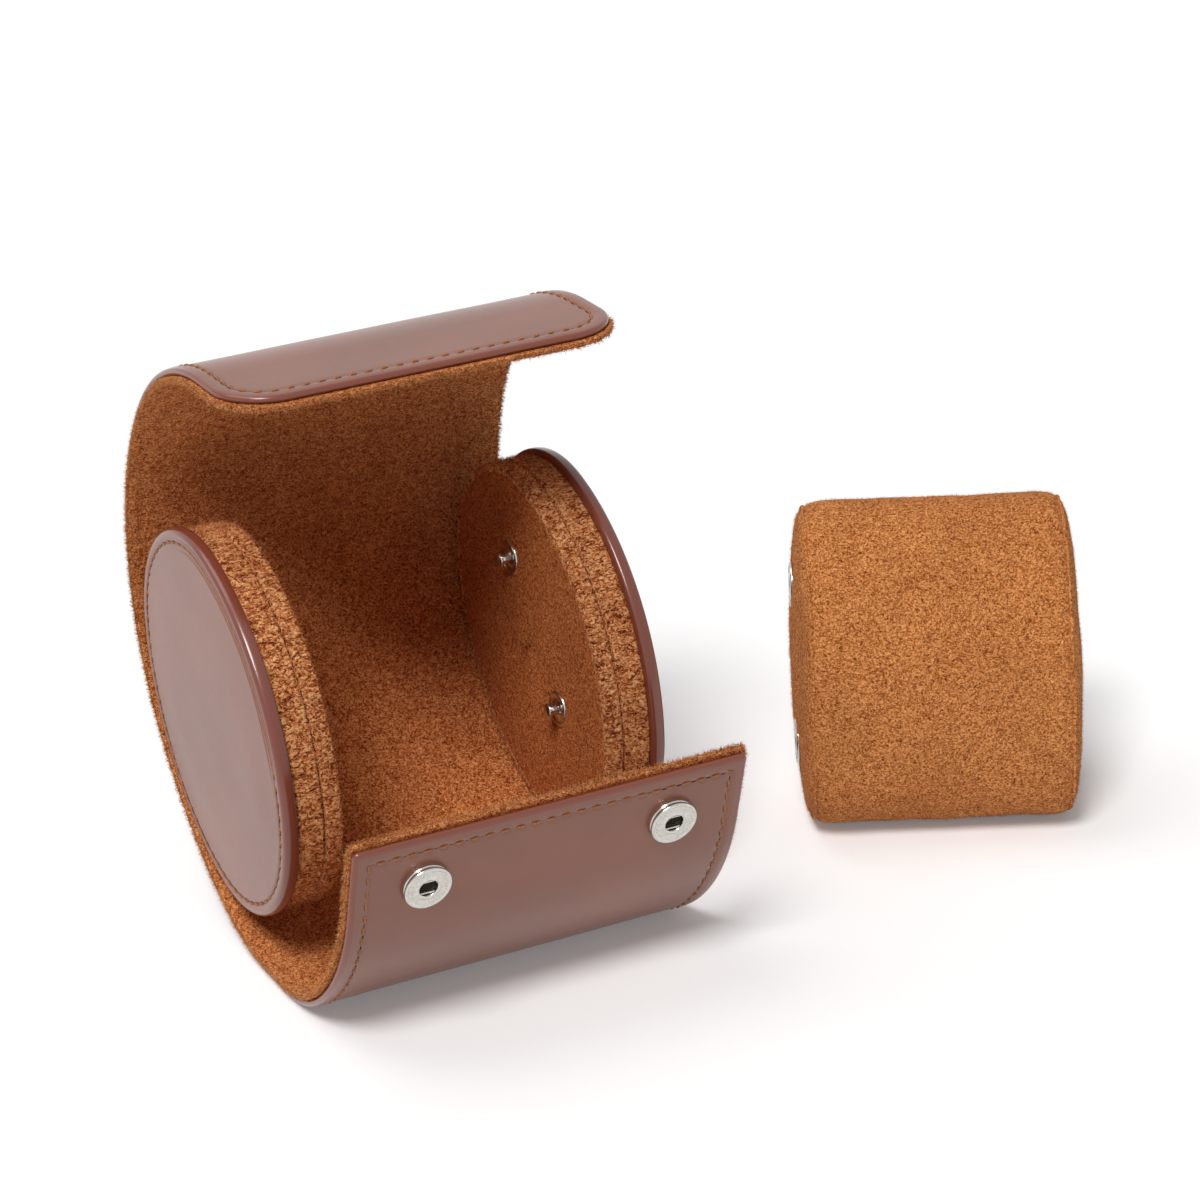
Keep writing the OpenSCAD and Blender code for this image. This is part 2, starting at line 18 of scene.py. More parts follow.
import bpy
import numpy as np
from mathutils import Matrix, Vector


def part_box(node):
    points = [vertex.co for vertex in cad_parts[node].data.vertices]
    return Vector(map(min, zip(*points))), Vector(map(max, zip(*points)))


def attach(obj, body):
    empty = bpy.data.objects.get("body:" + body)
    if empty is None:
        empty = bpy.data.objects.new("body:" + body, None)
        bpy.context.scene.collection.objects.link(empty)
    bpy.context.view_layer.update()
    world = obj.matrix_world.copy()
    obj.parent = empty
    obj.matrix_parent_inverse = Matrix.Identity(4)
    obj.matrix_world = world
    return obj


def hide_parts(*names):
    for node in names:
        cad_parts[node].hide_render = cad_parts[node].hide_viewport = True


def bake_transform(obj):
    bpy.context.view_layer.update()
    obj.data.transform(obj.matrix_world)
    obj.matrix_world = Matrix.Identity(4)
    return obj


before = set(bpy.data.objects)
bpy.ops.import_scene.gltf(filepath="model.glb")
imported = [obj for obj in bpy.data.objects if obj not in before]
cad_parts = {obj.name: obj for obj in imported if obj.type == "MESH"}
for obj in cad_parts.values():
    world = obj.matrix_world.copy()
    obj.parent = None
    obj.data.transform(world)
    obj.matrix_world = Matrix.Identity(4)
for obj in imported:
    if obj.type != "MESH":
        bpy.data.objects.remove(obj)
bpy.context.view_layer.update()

LOG = logging.getLogger("roll_case")
MM = 0.001
TABLE_GAP = 0.02

Array = np.ndarray
Profile = Sequence[tuple[float, float]]
Form = tuple[Array, list[Array]]
Grid = dict[str, Array]
Lift = Callable[[Array, Array, Array], Array]
Finishes = dict[str, bpy.types.Material]


# ---------- numbers shared by the shapes ----------


def scatter(a: Array, b: Array, seed: float = 0.0) -> Array:
    """Even random values that depend only on two coordinates.

    Formula: the fraction of a large sine of a weighted sum of both, so equal points on two
    neighbouring meshes get the same value.

    Args:
        a: First coordinate.
        b: Second coordinate, the same shape.
        seed: Picks another pattern.

    Returns:
        Values from -1 to 1.
    """
    wave = np.sin(np.round(a, 3) * 12.9898 + np.round(b, 3) * 78.233 + seed * 37.719) * 43758.5453
    return 2 * (wave - np.floor(wave)) - 1


def ripple(a: Array, b: Array, length: float, seed: float = 0.0) -> Array:
    """Slow unevenness of a hand-made surface.

    Formula: the mean of four sines that run in different directions, with wavelengths
    near the given length.

    Args:
        a: First coordinate.
        b: Second coordinate.
        length: Typical wavelength in the coordinates' unit.
        seed: Picks another pattern.

    Returns:
        Values from about -1 to 1.
    """
    turn = 2 * math.pi / length
    return 0.25 * (
        np.sin(turn * (a + 0.35 * b) + seed)
        + np.sin(turn * 1.37 * (0.8 * b - 0.45 * a) + 2.1 * seed + 1.0)
        + np.sin(turn * 0.71 * (b + 0.9 * a) + 0.7 * seed + 2.4)
        + np.sin(turn * 1.9 * (a - 0.2 * b) + 1.3 * seed + 4.0)
    )


def smooth(t: Array) -> Array:
    """Smooth step from 0 to 1 as t goes from 0 to 1."""
    t = np.clip(t, 0, 1)
    return t * t * (3 - 2 * t)


def bell(t: Array, middle: float | Array, width: float) -> Array:
    """Bell curve, 1 at its middle and about a third at one width from it."""
    return np.exp(-(((t - middle) / width) ** 2))


def unit(v: Array) -> Array:
    """Vectors of length one along the last axis."""
    return v / np.maximum(np.linalg.norm(v, axis=-1, keepdims=True), 1e-12)


def turns(count: int) -> Array:
    """Angles of even steps round a full circle."""
    return np.arange(count) * 2 * math.pi / count


def circles(middle: Array, a: Array, b: Array, radius: float, sides: int) -> Array:
    """Circles round many middles.

    Formula: the middle plus the radius times a cosine share of a and a sine share of b.

    Args:
        middle: One middle a row.
        a: Unit vectors in each circle's plane.
        b: Unit vectors in that plane, at right angles to a.
        radius: The circles' radius.
        sides: Points in a circle.

    Returns:
        Points, circles by sides by 3.
    """
    t = turns(sides)[None, :, None]
    return middle[:, None] + radius * (a[:, None] * np.cos(t) + b[:, None] * np.sin(t))


# ---------- meshes ----------


def ring_faces(rows: int, cols: int, closed: bool = False) -> Array:
    """Quads between rings of points that are stored ring by ring.

    Args:
        rows: Number of rings.
        cols: Number of points in a ring.
        closed: True if the last ring joins the first.

    Returns:
        Four point indices a face.
    """
    i, j = np.meshgrid(np.arange(rows if closed else rows - 1), np.arange(cols), indexing="ij")
    below, beside = (i + 1) % rows, (j + 1) % cols
    corners = [i * cols + j, i * cols + beside, below * cols + beside, below * cols + j]
    return np.stack(corners, -1).reshape(-1, 4)


def sheet_faces(index: Array) -> Array:
    """Quads of an open grid of point indices."""
    corners = [index[:-1, :-1], index[:-1, 1:], index[1:, 1:], index[1:, :-1]]
    return np.stack(corners, -1).reshape(-1, 4)


def weld(quads: Array) -> tuple[Array, list[Array]]:
    """Makes triangles of quads that name a point twice, and leaves out unused points.

    Args:
        quads: Four point indices a face.

    Returns:
        Indices of the used points, and the four-sided and three-sided faces among them.
    """
    same = quads == np.roll(quads, -1, axis=1)
    count = same.sum(1)
    four = quads[count == 0]
    three = quads[count == 1][~same[count == 1]].reshape(-1, 3)
    used = np.unique(np.concatenate([four.ravel(), three.ravel()]))
    return used, [np.searchsorted(used, four), np.searchsorted(used, three)]


class Shape:
    """Points, faces and point marks of one mesh, gathered part by part."""

    def __init__(self) -> None:
        """Starts with nothing in it."""
        self.points: list[Array] = []
        self.faces: list[Array] = []
        self.marks: dict[str, Array] = {}

    def add(self, points: Array, faces: Sequence[Array], flip: bool = False) -> Shape:
        """Adds points and the faces that join them.

        Args:
            points: Points in millimetres, with three values on the last axis.
            faces: Face arrays whose indices count from this part's first point.
            flip: True to turn the faces round.

        Returns:
            The shape itself.
        """
        base = sum(len(p) for p in self.points)
        self.points.append(np.asarray(points, float).reshape(-1, 3))
        self.faces.extend((f[:, ::-1] if flip else f) + base for f in faces if len(f))
        return self

    def build(self, name: str, finish: bpy.types.Material, crease: float = 60.0) -> bpy.types.Object:
        """Puts the shape into a new object.

        Args:
            name: The object's name.
            finish: Its material.
            crease: Angle in degrees beyond which an edge shows sharp.

        Returns:
            The object, at the origin, with its place in its mesh.
        """
        mesh = bpy.data.meshes.new(name)
        points = np.concatenate(self.points) * MM
        loops = np.concatenate([f.ravel() for f in self.faces])
        sides = np.concatenate([np.full(len(f), f.shape[1]) for f in self.faces])
        mesh.vertices.add(len(points))
        mesh.vertices.foreach_set("co", points.astype(np.float32).ravel())
        mesh.loops.add(len(loops))
        mesh.loops.foreach_set("vertex_index", loops.astype(np.int32))
        mesh.polygons.add(len(sides))
        mesh.polygons.foreach_set("loop_start", (np.cumsum(sides) - sides).astype(np.int32))
        mesh.update(calc_edges=True)
        mesh.validate()
        for mark, values in self.marks.items():
            layer = mesh.attributes.new(mark, "FLOAT", "POINT")
            layer.data.foreach_set("value", values.astype(np.float32))
        mesh.shade_smooth()
        mesh.set_sharp_from_angle(angle=math.radians(crease))
        mesh.materials.append(finish)
        made = bpy.data.objects.new(name, mesh)
        bpy.context.scene.collection.objects.link(made)
        return made


def vectors(mesh: bpy.types.Mesh, name: str = "co") -> Array:
    """The mesh's points in metres or another vector of each point, one a row.

    Args:
        mesh: The mesh.
        name: The vector's name; "co" is the place in metres.

    Returns:
        One vector a row.
    """
    flat = np.zeros(len(mesh.vertices) * 3, np.float32)
    mesh.vertices.foreach_get(name, flat)
    return flat.reshape(-1, 3).astype(float)


def set_points(obj: bpy.types.Object, points: Array) -> None:
    """Writes points in millimetres into the object's mesh."""
    obj.data.vertices.foreach_set("co", (points * MM).astype(np.float32).ravel())
    obj.data.update()


# ---------- places ----------


@dataclass(frozen=True)
class Seat:
    """A right-angled frame in the row frame: an origin and three axes, z out of the surface."""

    origin: Array
    across: Array
    along: Array
    out: Array

    @cached_property
    def axes(self) -> Array:
        """The three axes, one a row."""
        return np.stack([self.across, self.along, self.out])

    def put(self, local: Array) -> Array:
        """Turns local points into points of the row frame, in millimetres."""
        return self.origin + np.asarray(local, float) @ self.axes

    def local(self, points: Array) -> Array:
        """Turns points of the row frame into local ones."""
        return (points - self.origin) @ self.axes.T


def facing(origin: Array, across: Array, out: Array) -> Seat:
    """A frame from its origin, first axis and outward axis."""
    return Seat(origin, across, np.cross(out, across), out)


@dataclass(frozen=True)
class WrapPath:
    """The wrap's outer line in section, walked from the front flap's tip to the top flap's.

    Each step is a radius and a length, or with a radius a sweep in degrees. The section's
    first axis runs towards the back and its second up, and the roll leans back as a whole.
    """

    steps: tuple[tuple[float, float], ...] = (
        (0, 17.5), (60, 36), (33.65, 37.4), (0, 10), (50, 29.6),
        (96.5, 27), (68, 76), (51.5, 46), (0, 21),
    )
    heading: float = -36.0
    lean: float = 37.4
    flat_step: int = 3
    rear_step: int = 6
    wall_step: int = 5
    width: float = 93.0
    leather: float = 0.8
    board: float = 0.9
    suede: float = 1.3

    @cached_property
    def cover(self) -> float:
        """Thickness of leather and board together."""
        return self.leather + self.board

    @cached_property
    def thickness(self) -> float:
        """Thickness of all three plies."""
        return self.cover + self.suede

    @cached_property
    def radii(self) -> Array:
        """Each step's radius, 0 for a straight."""
        return np.array([r for r, _ in self.steps], float)

    @cached_property
    def stations(self) -> Array:
        """Station at each step's start, with the whole length last."""
        spans = [a if r == 0 else r * math.radians(a) for r, a in self.steps]
        return np.concatenate([[0.0], np.cumsum(spans)])

    @cached_property
    def length(self) -> float:
        """Length of the whole outer line."""
        return float(self.stations[-1])

    @staticmethod
    def walk(start: Array, radius: Array, way: Array) -> Array:
        """Goes along a straight or an arc.

        Formula: a straight moves along its heading; an arc of radius r that turns from
        heading a to b moves r (sin b - sin a) and -r (cos b - cos a).

        Args:
            start: Place and heading at the start, on the last axis.
            radius: Radius, 0 for a straight.
            way: Distance to go.

        Returns:
            Place and heading there, on the last axis.
        """
        y, z, a = start[..., 0], start[..., 1], start[..., 2]
        curved = radius > 0
        b = a + np.where(curved, way / np.where(curved, radius, 1.0), 0.0)
        y = y + np.where(curved, radius * (np.sin(b) - np.sin(a)), way * np.cos(a))
        z = z - np.where(curved, radius * (np.cos(b) - np.cos(a)), -way * np.sin(a))
        return np.stack([y, z, b], -1)

    @cached_property
    def starts(self) -> Array:
        """Place and heading at each step's start, with the far tip's last."""
        rows = [np.array([0.0, 0.0, math.radians(self.heading)])]
        for radius, way in zip(self.radii, np.diff(self.stations)):
            rows.append(self.walk(rows[-1], radius, way))
        return np.array(rows)

    def line(self, s: Array) -> tuple[Array, Array, Array]:
        """Section coordinates and heading at stations; the end straights run on past both tips.

        Args:
            s: Stations along the outer line.

        Returns:
            Coordinates y and z, and the heading in radians.
        """
        s = np.asarray(s, float)
        i = np.clip(np.searchsorted(self.stations, s, side="right") - 1, 0, len(self.steps) - 1)
        there = self.walk(self.starts[i], self.radii[i], s - self.stations[i])
        return there[..., 0], there[..., 1], there[..., 2]

    def centre(self, step: int) -> Array:
        """Centre of a curved step, in section coordinates."""
        y, z, a = self.starts[step]
        return np.array([y - self.radii[step] * math.sin(a), z + self.radii[step] * math.cos(a)])

    def leaned(self, y: Array, z: Array) -> tuple[Array, Array]:
        """Section coordinates after the roll has leaned back."""
        lean = math.radians(self.lean)
        return y * math.cos(lean) + z * math.sin(lean), z * math.cos(lean) - y * math.sin(lean)

    @cached_property
    def shift(self) -> Array:
        """Move that puts the leaned section on the table, with the box's middle at the origin."""
        rear = self.leaned(*self.centre(self.rear_step))[0] + self.radii[self.rear_step]
        low = self.leaned(*self.starts[self.flat_step, :2])[1]
        return np.array([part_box("back_leather")[0].x / MM, -rear / 2, -low])

    def world(self, x: Array, y: Array, z: Array) -> Array:
        """Turns places across and section coordinates into points of the row frame."""
        return np.stack(np.broadcast_arrays(x, *self.leaned(y, z)), -1) + self.shift

    def place(self, s: Array, depth: Array, x: Array) -> Array:
        """Points on the wrap.

        Formula: from the outer line at station s, go inwards at right angles by the depth,
        and across by x.

        Args:
            s: Stations.
            depth: Depths below the outer face, towards the lining.
            x: Places across, from the left edge.

        Returns:
            Points of the row frame in millimetres.
        """
        y, z, a = self.line(s)
        return self.world(x, y - depth * np.sin(a), z + depth * np.cos(a))

    def seat(self, s: float, depth: float, x: float, side: float = 1.0) -> Seat:
        """A frame on the wrap, with z out of the outer face, or into the roll if side is -1."""
        here = self.place(s, depth, x)
        return facing(here, np.array([1.0, 0.0, 0.0]), unit(self.place(s, depth - 1.0, x) - here) * side)


class Tip(Enum):
    """Which end of a piece of wrap is one of the strip's tips."""

    NONE = "none"
    START = "start"
    END = "end"


@dataclass(frozen=True)
class Stretch:
    """One piece of the wrap between two cuts, which bends over one fold.

    The cuts lie in the middle of stiff panels, so neighbouring pieces keep touching.
    """

    name: str
    first: float
    last: float
    fold: float
    bodies: tuple[str, str]
    reach: tuple[float, float] = (9.5, 9.5)
    tip: Tip = Tip.NONE
    corner: float = 13.0

    def blend(self, obj: bpy.types.Object, path: WrapPath) -> None:
        """Bakes the piece's place into its mesh; the two ends of its fold are worked out but not used.

        Args:
            obj: The piece.
            path: The wrap's section line.
        """
        ends = (self.fold - self.reach[0], self.fold + self.reach[1])
        start, end = (tuple(path.place(s, path.thickness, path.width / 2) * MM) for s in ends)
        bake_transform(obj)

    def nodes(self, ply: str) -> list[str]:
        """The two CAD nodes of this ply that the stretch stands for."""
        return [f"{'back' if body == 'case' else body}_{ply}" for body in self.bodies]


STRETCHES = (
    Stretch("front", 0.0, 62.0, 22.1, ("front_flap", "base_bend"), (4.5, 13.0), Tip.START, 1.5),
    Stretch("base", 62.0, 142.0, 101.6, ("base_bend", "case"), (16.0, 16.0)),
    Stretch("rear", 142.0, 192.5, 182.5, ("case", "rear_bend")),
    Stretch("upper", 192.5, 216.0, 202.5, ("rear_bend", "top_bend")),
    Stretch("top", 216.0, WrapPath().length, 229.6, ("top_bend", "top_flap"), (12.0, 15.0), Tip.END),
)


@dataclass(frozen=True)
class PlyPlan:
    """The grid of one ply in plan, crowded where its edge turns.

    outer and inner are (inset, depth) points that start at the same border point: outer
    runs round the visible edge, inner under it. Ring 0 is the border; rings count inwards
    with these points, then with the spread's distances. In a rounded corner the rings
    become arcs round the corner's centre.
    """

    path: WrapPath
    outer: Profile
    inner: Profile
    side: float
    tip: float
    spread: tuple[float, ...]
    pitch: float

    def lay(self, part: Stretch, edge_form: Profile) -> Grid:
        """Works out one face's grid.

        Formula: a point takes the smaller of its row's and column's ring. Along an edge it
        lies at that ring's inset. In a corner of radius R a ring of inset p is an arc of
        radius R - p, and its points share the quarter turn evenly.

        Args:
            part: The stretch of wrap.
            edge_form: The face's (inset, depth) points.

        Returns:
            Arrays s, x, depth, q (distance from the edge) and ring, each rows by columns.
        """
        form, total = len(edge_form), len(edge_form) + len(self.spread)
        inset = np.array([p for p, _ in edge_form] + list(self.spread))
        depth = np.array([d for _, d in edge_form] + [edge_form[-1][1]] * (len(self.spread) + 1))
        rings = np.arange(total)
        x0, x1 = -self.side, self.path.width + self.side
        cells = max(2, round((x1 - x0 - 2 * inset[-1]) / self.pitch))
        inner = np.linspace(x0 + inset[-1], x1 - inset[-1], cells + 1)[1:-1]
        col_ring = np.concatenate([rings, np.full(len(inner), total), rings[::-1]])
        col_x = np.concatenate([x0 + inset, inner, (x1 - inset)[::-1]])
        sign, edge, cut = 1.0, part.first - self.tip, part.last
        if part.tip is Tip.END:
            sign, edge, cut = -1.0, part.last + self.tip, part.first
        if part.tip is Tip.NONE:
            row_s = np.linspace(part.first, part.last, round((part.last - part.first) / self.pitch) + 1)
            row_ring = np.full(len(row_s), total)
        else:
            start = edge + sign * inset[-1]
            cells = max(2, round(abs(cut - start) / self.pitch))
            row_s = np.concatenate([edge + sign * inset, np.linspace(start, cut, cells + 1)[1:]])
            row_ring = np.concatenate([rings, np.full(cells, total)])
        i, j = np.meshgrid(row_ring, col_ring, indexing="ij")
        s, x = np.meshgrid(row_s, col_x, indexing="ij")
        ring = np.minimum(i, j)
        q = np.minimum(x - x0, x1 - x)
        if part.tip is not Tip.NONE:
            corner = part.corner + self.side
            far = int(np.argmin(np.abs(inset - corner) + 100.0 * (rings < form)))
            m = np.minimum(ring, far)
            bend = (i < far) & (j < far)
            share = np.where(i <= j, j - m, m - i) / np.maximum(far - m, 1)
            turn = np.radians(45 + 45 * share)
            radius = corner - inset[m]
            xa = corner - radius * np.cos(turn)
            left = np.arange(len(col_x)) < len(col_x) / 2
            q = np.where(bend, inset[m], np.minimum(q, np.abs(s - edge)))
            x = np.where(bend, np.where(left, x0 + xa, x1 - xa), x)
            s = np.where(bend, edge + sign * (corner - radius * np.sin(turn)), s)
        laid = {"s": s, "x": x, "depth": depth[ring], "q": np.where(ring < form, 0.0, q), "ring": ring}
        return {key: a[::-1] for key, a in laid.items()} if part.tip is Tip.END else laid

    def solid(self, part: Stretch, relief: Callable[[Grid], Array] | None = None,
              marks: Callable[[Grid], dict[str, Array]] | None = None) -> Shape:
        """Closes both faces of the ply into one solid.

        Args:
            part: The stretch of wrap.
            relief: Gives the depth to add to the visible face, 0 at its border.
            marks: Gives the visible face's point marks.

        Returns:
            The shape, with flat caps at the cuts.
        """
        top, low = self.lay(part, self.outer), self.lay(part, self.inner)
        if relief is not None:
            top["depth"] = top["depth"] + relief(top)
        rows, cols = top["s"].shape
        index = np.arange(rows * cols).reshape(rows, cols)
        under = index + rows * cols
        under[:, 0], under[:, -1] = index[:, 0], index[:, -1]
        if part.tip is not Tip.NONE:
            border = 0 if part.tip is Tip.START else -1
            under[border] = index[border]
        faces = [sheet_faces(index)[:, ::-1], sheet_faces(under)]
        if part.tip is not Tip.START:
            faces.append(sheet_faces(np.stack([index[0], under[0]])))
        if part.tip is not Tip.END:
            faces.append(sheet_faces(np.stack([under[-1], index[-1]])))
        middle = rows // 2, cols // 2
        turned = -1 if top["depth"][middle] > low["depth"][middle] else 1
        used, lists = weld(np.concatenate(faces)[:, ::turned])
        points = [self.path.place(g["s"], g["depth"], g["x"]).reshape(-1, 3) for g in (top, low)]
        shape = Shape().add(np.concatenate(points)[used], lists)
        if marks is not None:
            shape.marks = {key: np.tile(a.ravel(), 2)[used] for key, a in marks(top).items()}
        return shape


# ---------- shader maths ----------


class Graph:
    """The node tree of one material or of the world."""

    def __init__(self, owner: bpy.types.Material | bpy.types.World) -> None:
        """Takes the owner's tree and empties it.

        Args:
            owner: The material or world that has the tree.
        """
        owner.use_nodes = True
        self.owner, self.tree = owner, owner.node_tree
        self.tree.nodes.clear()

    def node(self, kind: str, settings: dict[str, Any] | None = None, **values: Any) -> bpy.types.Node:
        """Makes any node.

        Args:
            kind: The node's type name after its ShaderNode.
            settings: Properties to set first; "stops" holds a ramp's (place, colour) pairs.
            values: Value or link of each socket, by its name with _ for a space or its
                number after an n.

        Returns:
            The node.
        """
        made = self.tree.nodes.new(f"ShaderNode{kind}")
        for key, value in (settings or {}).items():
            if key == "stops":
                ramp = made.color_ramp
                while len(ramp.elements) < len(value):
                    ramp.elements.new(0.5)
                for element, (place, colour) in zip(ramp.elements, value):
                    element.position, element.color = place, (*colour, 1.0)
            else:
                setattr(made, key, value)
        for key, value in values.items():
            slot: Any = int(key[1:]) if key[0] == "n" and key[1:].isdigit() else key.replace("_", " ")
            socket = made.inputs[slot]
            if isinstance(value, Term):
                self.tree.links.new(value.socket, socket)
            elif isinstance(value, tuple) and len(value) == 3 and socket.type == "RGBA":
                socket.default_value = (*value, 1.0)
            else:
                socket.default_value = value
        return made

    def term(self, kind: str, output: int | str = 0, settings: dict[str, Any] | None = None,
             **values: Any) -> Term:
        """Makes a node and returns one of its outputs."""
        return Term(self, self.node(kind, settings, **values).outputs[output])

    def where(self) -> Term:
        """The object's own coordinates."""
        return self.term("TexCoord", "Object")

    def mark(self, name: str) -> Term:
        """A point mark of the mesh."""
        return self.term("Attribute", "Fac", {"attribute_name": name})

    def noise(self, where: Term, size: float, detail: float = 2.0, rough: float = 0.5,
              curl: float = 0.0) -> Term:
        """Noise with blobs about size millimetres across; curl twists them into strokes."""
        return self.term("TexNoise", Vector=where, Scale=1.0 / (size * MM), Detail=detail,
                         Roughness=rough, Distortion=curl)

    def mix(self, factor: Term | float, a: Any, b: Any) -> Term:
        """Colour a where factor is 0 and b where it is 1."""
        return self.term("Mix", 2, {"data_type": "RGBA"}, n0=factor, n6=a, n7=b)

    def bump(self, height: Term, strength: float, relief: float) -> Term:
        """Normal of a surface whose height swings by relief millimetres."""
        return self.term("Bump", Height=height, Strength=strength, Distance=relief * MM)

    def seen(self) -> Term:
        """1 for rays from the camera, from a reflection or through glass, otherwise 0.

        Returns:
            The factor.
        """
        path = self.node("LightPath")
        rays = [Term(self, path.outputs[f"Is {kind} Ray"]) for kind in ("Camera", "Glossy", "Transmission")]
        return (rays[0] + rays[1] + rays[2]).between(0.0, 1.0)

    def surface(self, **values: Any) -> bpy.types.Material:
        """Wires the Principled shader to the output and returns the material."""
        self.node("OutputMaterial", n0=self.term("BsdfPrincipled", **values))
        return self.owner


class Term:
    """A socket that takes part in arithmetic; each operator adds one Math node."""

    def __init__(self, graph: Graph, socket: bpy.types.NodeSocket) -> None:
        """Wraps an output socket."""
        self.graph, self.socket = graph, socket

    def math(self, operation: str, a: Term | float, b: Term | float) -> Term:
        """One Math node on two values."""
        return self.graph.term("Math", 0, {"operation": operation}, n0=a, n1=b)

    def __add__(self, other: Term | float) -> Term:
        """Sum."""
        return self.math("ADD", self, other)

    def __mul__(self, other: Term | float) -> Term:
        """Product."""
        return self.math("MULTIPLY", self, other)

    def __sub__(self, other: Term | float) -> Term:
        """Difference."""
        return self.math("SUBTRACT", self, other)

    def __rsub__(self, other: Term | float) -> Term:
        """Difference from a number."""
        return self.math("SUBTRACT", other, self)

    __radd__, __rmul__ = __add__, __mul__

    def between(self, low: float, high: float) -> Term:
        """0 at low and below, 1 at high and above, straight in between."""
        return self.graph.term("MapRange", 0, {"clamp": True}, Value=self, From_Min=low, From_Max=high)


# ---------- finishes ----------


def srgb(code: str) -> tuple[float, ...]:
    """Linear colour of a six-digit screen colour.

    Formula: each channel c becomes c / 12.92 if dark, else ((c + 0.055) / 1.055) ^ 2.4.

    Args:
        code: Six hexadecimal digits.

    Returns:
        Red, green and blue.
    """
    channels = [int(code[i:i + 2], 16) / 255 for i in (0, 2, 4)]
    return tuple(c / 12.92 if c <= 0.04045 else ((c + 0.055) / 1.055) ** 2.4 for c in channels)


@dataclass(frozen=True)
class Finish:
    """A named finish of the object."""

    name: str

    def graph(self) -> tuple[Graph, Term]:
        """An empty tree for a new material of this name, and the object's coordinates in it."""
        g = Graph(bpy.data.materials.new(self.name))
        return g, g.where()


@dataclass(frozen=True)
class Leather(Finish):
    """Smooth coated leather: satin face, glossier and redder where the edge is turned, with near-black shade
    painted where it shows through a snap socket's hole.
    """

    face: str = "7f4a36"
    cloud: str = "8a523d"
    edge: str = "7d3a25"
    # Near-black colour painted as shade where the leather shows through a socket's hole.
    pit: str = "1c0f0b"
    gloss: float = 0.36
    edge_gloss: float = 0.2

    def make(self) -> bpy.types.Material:
        """Builds the material; mark rim is 1 on the turned edge, and the leather is painted near black, as
        shade, where it shows through a socket's hole.

        Returns:
            The material.
        """
        g, where = self.graph()
        rim = g.mark("rim")
        slow, fine = g.noise(where, 28.0, 3.0), g.noise(where, 1.9, 3.0, 0.6)
        pores = g.noise(where, 0.34, 2.0, 0.6)
        tone = g.mix(slow.between(0.35, 0.68), srgb(self.face), srgb(self.cloud))
        tone = g.mix(rim * 0.9, tone, srgb(self.edge))
        # Painted shade: near black where the leather lies under a socket's hole.
        tone = g.mix(g.mark("pit"), tone, srgb(self.pit))
        rough = self.gloss + (fine - 0.5) * 0.1 + (slow - 0.5) * 0.08 - rim * (self.gloss - self.edge_gloss)
        return g.surface(Base_Color=tone, Roughness=rough, Coat_Weight=0.4, Coat_Roughness=0.3,
                         Normal=g.bump(pores * 0.4 + fine * 0.6, 0.22, 0.05))


@dataclass(frozen=True)
class Suede(Finish):
    """Napped suede: tufts that catch the light, with patches brushed another way."""

    light: str = "ffb474"
    middle: str = "d27438"
    dark: str = "7a310c"
    tuft: float = 0.55
    mottle: float = 0.2
    stretch: tuple[float, float, float] = (1.0, 1.0, 1.4)
    relief: float = 0.6

    def make(self) -> bpy.types.Material:
        """Builds the material: curled tufts on soft clumps, and slow brushed patches.

        Returns:
            The material.
        """
        g, where = self.graph()
        laid = g.term("Mapping", Vector=where, Scale=self.stretch)
        tufts = g.noise(laid, self.tuft, 4.0, 0.7, 1.3)
        clumps = g.noise(laid, self.tuft * 3.2, 3.0, 0.6, 0.8)
        brushed = g.noise(where, 19.0, 2.0)
        lift = tufts.between(0.41, 0.59) * (1 - self.mottle) + clumps.between(0.36, 0.64) * self.mottle
        stops = [(0.12, srgb(self.dark)), (0.48, srgb(self.middle)), (0.86, srgb(self.light))]
        tone = g.term("ValToRGB", 0, {"stops": stops}, Fac=lift)
        tone = g.mix(brushed.between(0.42, 0.7) * 0.16, tone, srgb(self.dark))
        return g.surface(Base_Color=tone, Roughness=0.95 - lift * 0.08, Specular_IOR_Level=0.2,
                         Sheen_Weight=0.1, Sheen_Roughness=0.5, Sheen_Tint=srgb("e0a060"),
                         Normal=g.bump(tufts * 0.75 + clumps * 0.7, 1.0, self.relief))


@dataclass(frozen=True)
class Metal(Finish):
    """Plated or plain metal with faint wear."""

    colour: str = "d8d6cf"
    gloss: float = 0.2

    def make(self) -> bpy.types.Material:
        """Builds the material.

        Returns:
            The material.
        """
        g, where = self.graph()
        wear = g.noise(where, 0.8, 4.0, 0.6)
        tone = g.mix(wear.between(0.3, 0.8), srgb(self.colour), srgb("bdbab3"))
        return g.surface(Base_Color=tone, Metallic=1.0, Roughness=self.gloss + (wear - 0.5) * 0.12,
                         Normal=g.bump(wear, 0.2, 0.03))


@dataclass(frozen=True)
class Plain(Finish):
    """A dull material with soft mottling: thread, board, foam, or the painted shade of a needle hole."""

    light: str
    dark: str
    size: float
    rough: float
    relief: float = 0.05

    def make(self) -> bpy.types.Material:
        """Builds the material.

        Returns:
            The material.
        """
        g, where = self.graph()
        grain = g.noise(where, self.size, 3.0, 0.6)
        tone = g.mix(grain.between(0.3, 0.7), srgb(self.dark), srgb(self.light))
        return g.surface(Base_Color=tone, Roughness=self.rough + (grain - 0.5) * 0.1,
                         Normal=g.bump(grain, 0.5, self.relief))


@dataclass(frozen=True)
class Table(Finish):
    """Pale floor that keeps shadows and is white where nothing shades it."""

    colour: str = "f4f4f4"
    lift: float = 0.16

    def make(self) -> bpy.types.Material:
        """Builds the material: a dull white, and a little of its own light for what is seen.

        Returns:
            The material.
        """
        g = Graph(bpy.data.materials.new(self.name))
        dull = g.term("BsdfDiffuse", Color=srgb(self.colour))
        glow = g.term("Emission", Color=(1.0, 1.0, 1.0), Strength=self.lift)
        both = g.term("AddShader", n0=dull, n1=glow)
        g.node("OutputMaterial", n0=g.term("MixShader", n0=g.seen(), n1=dull, n2=both))
        return g.owner


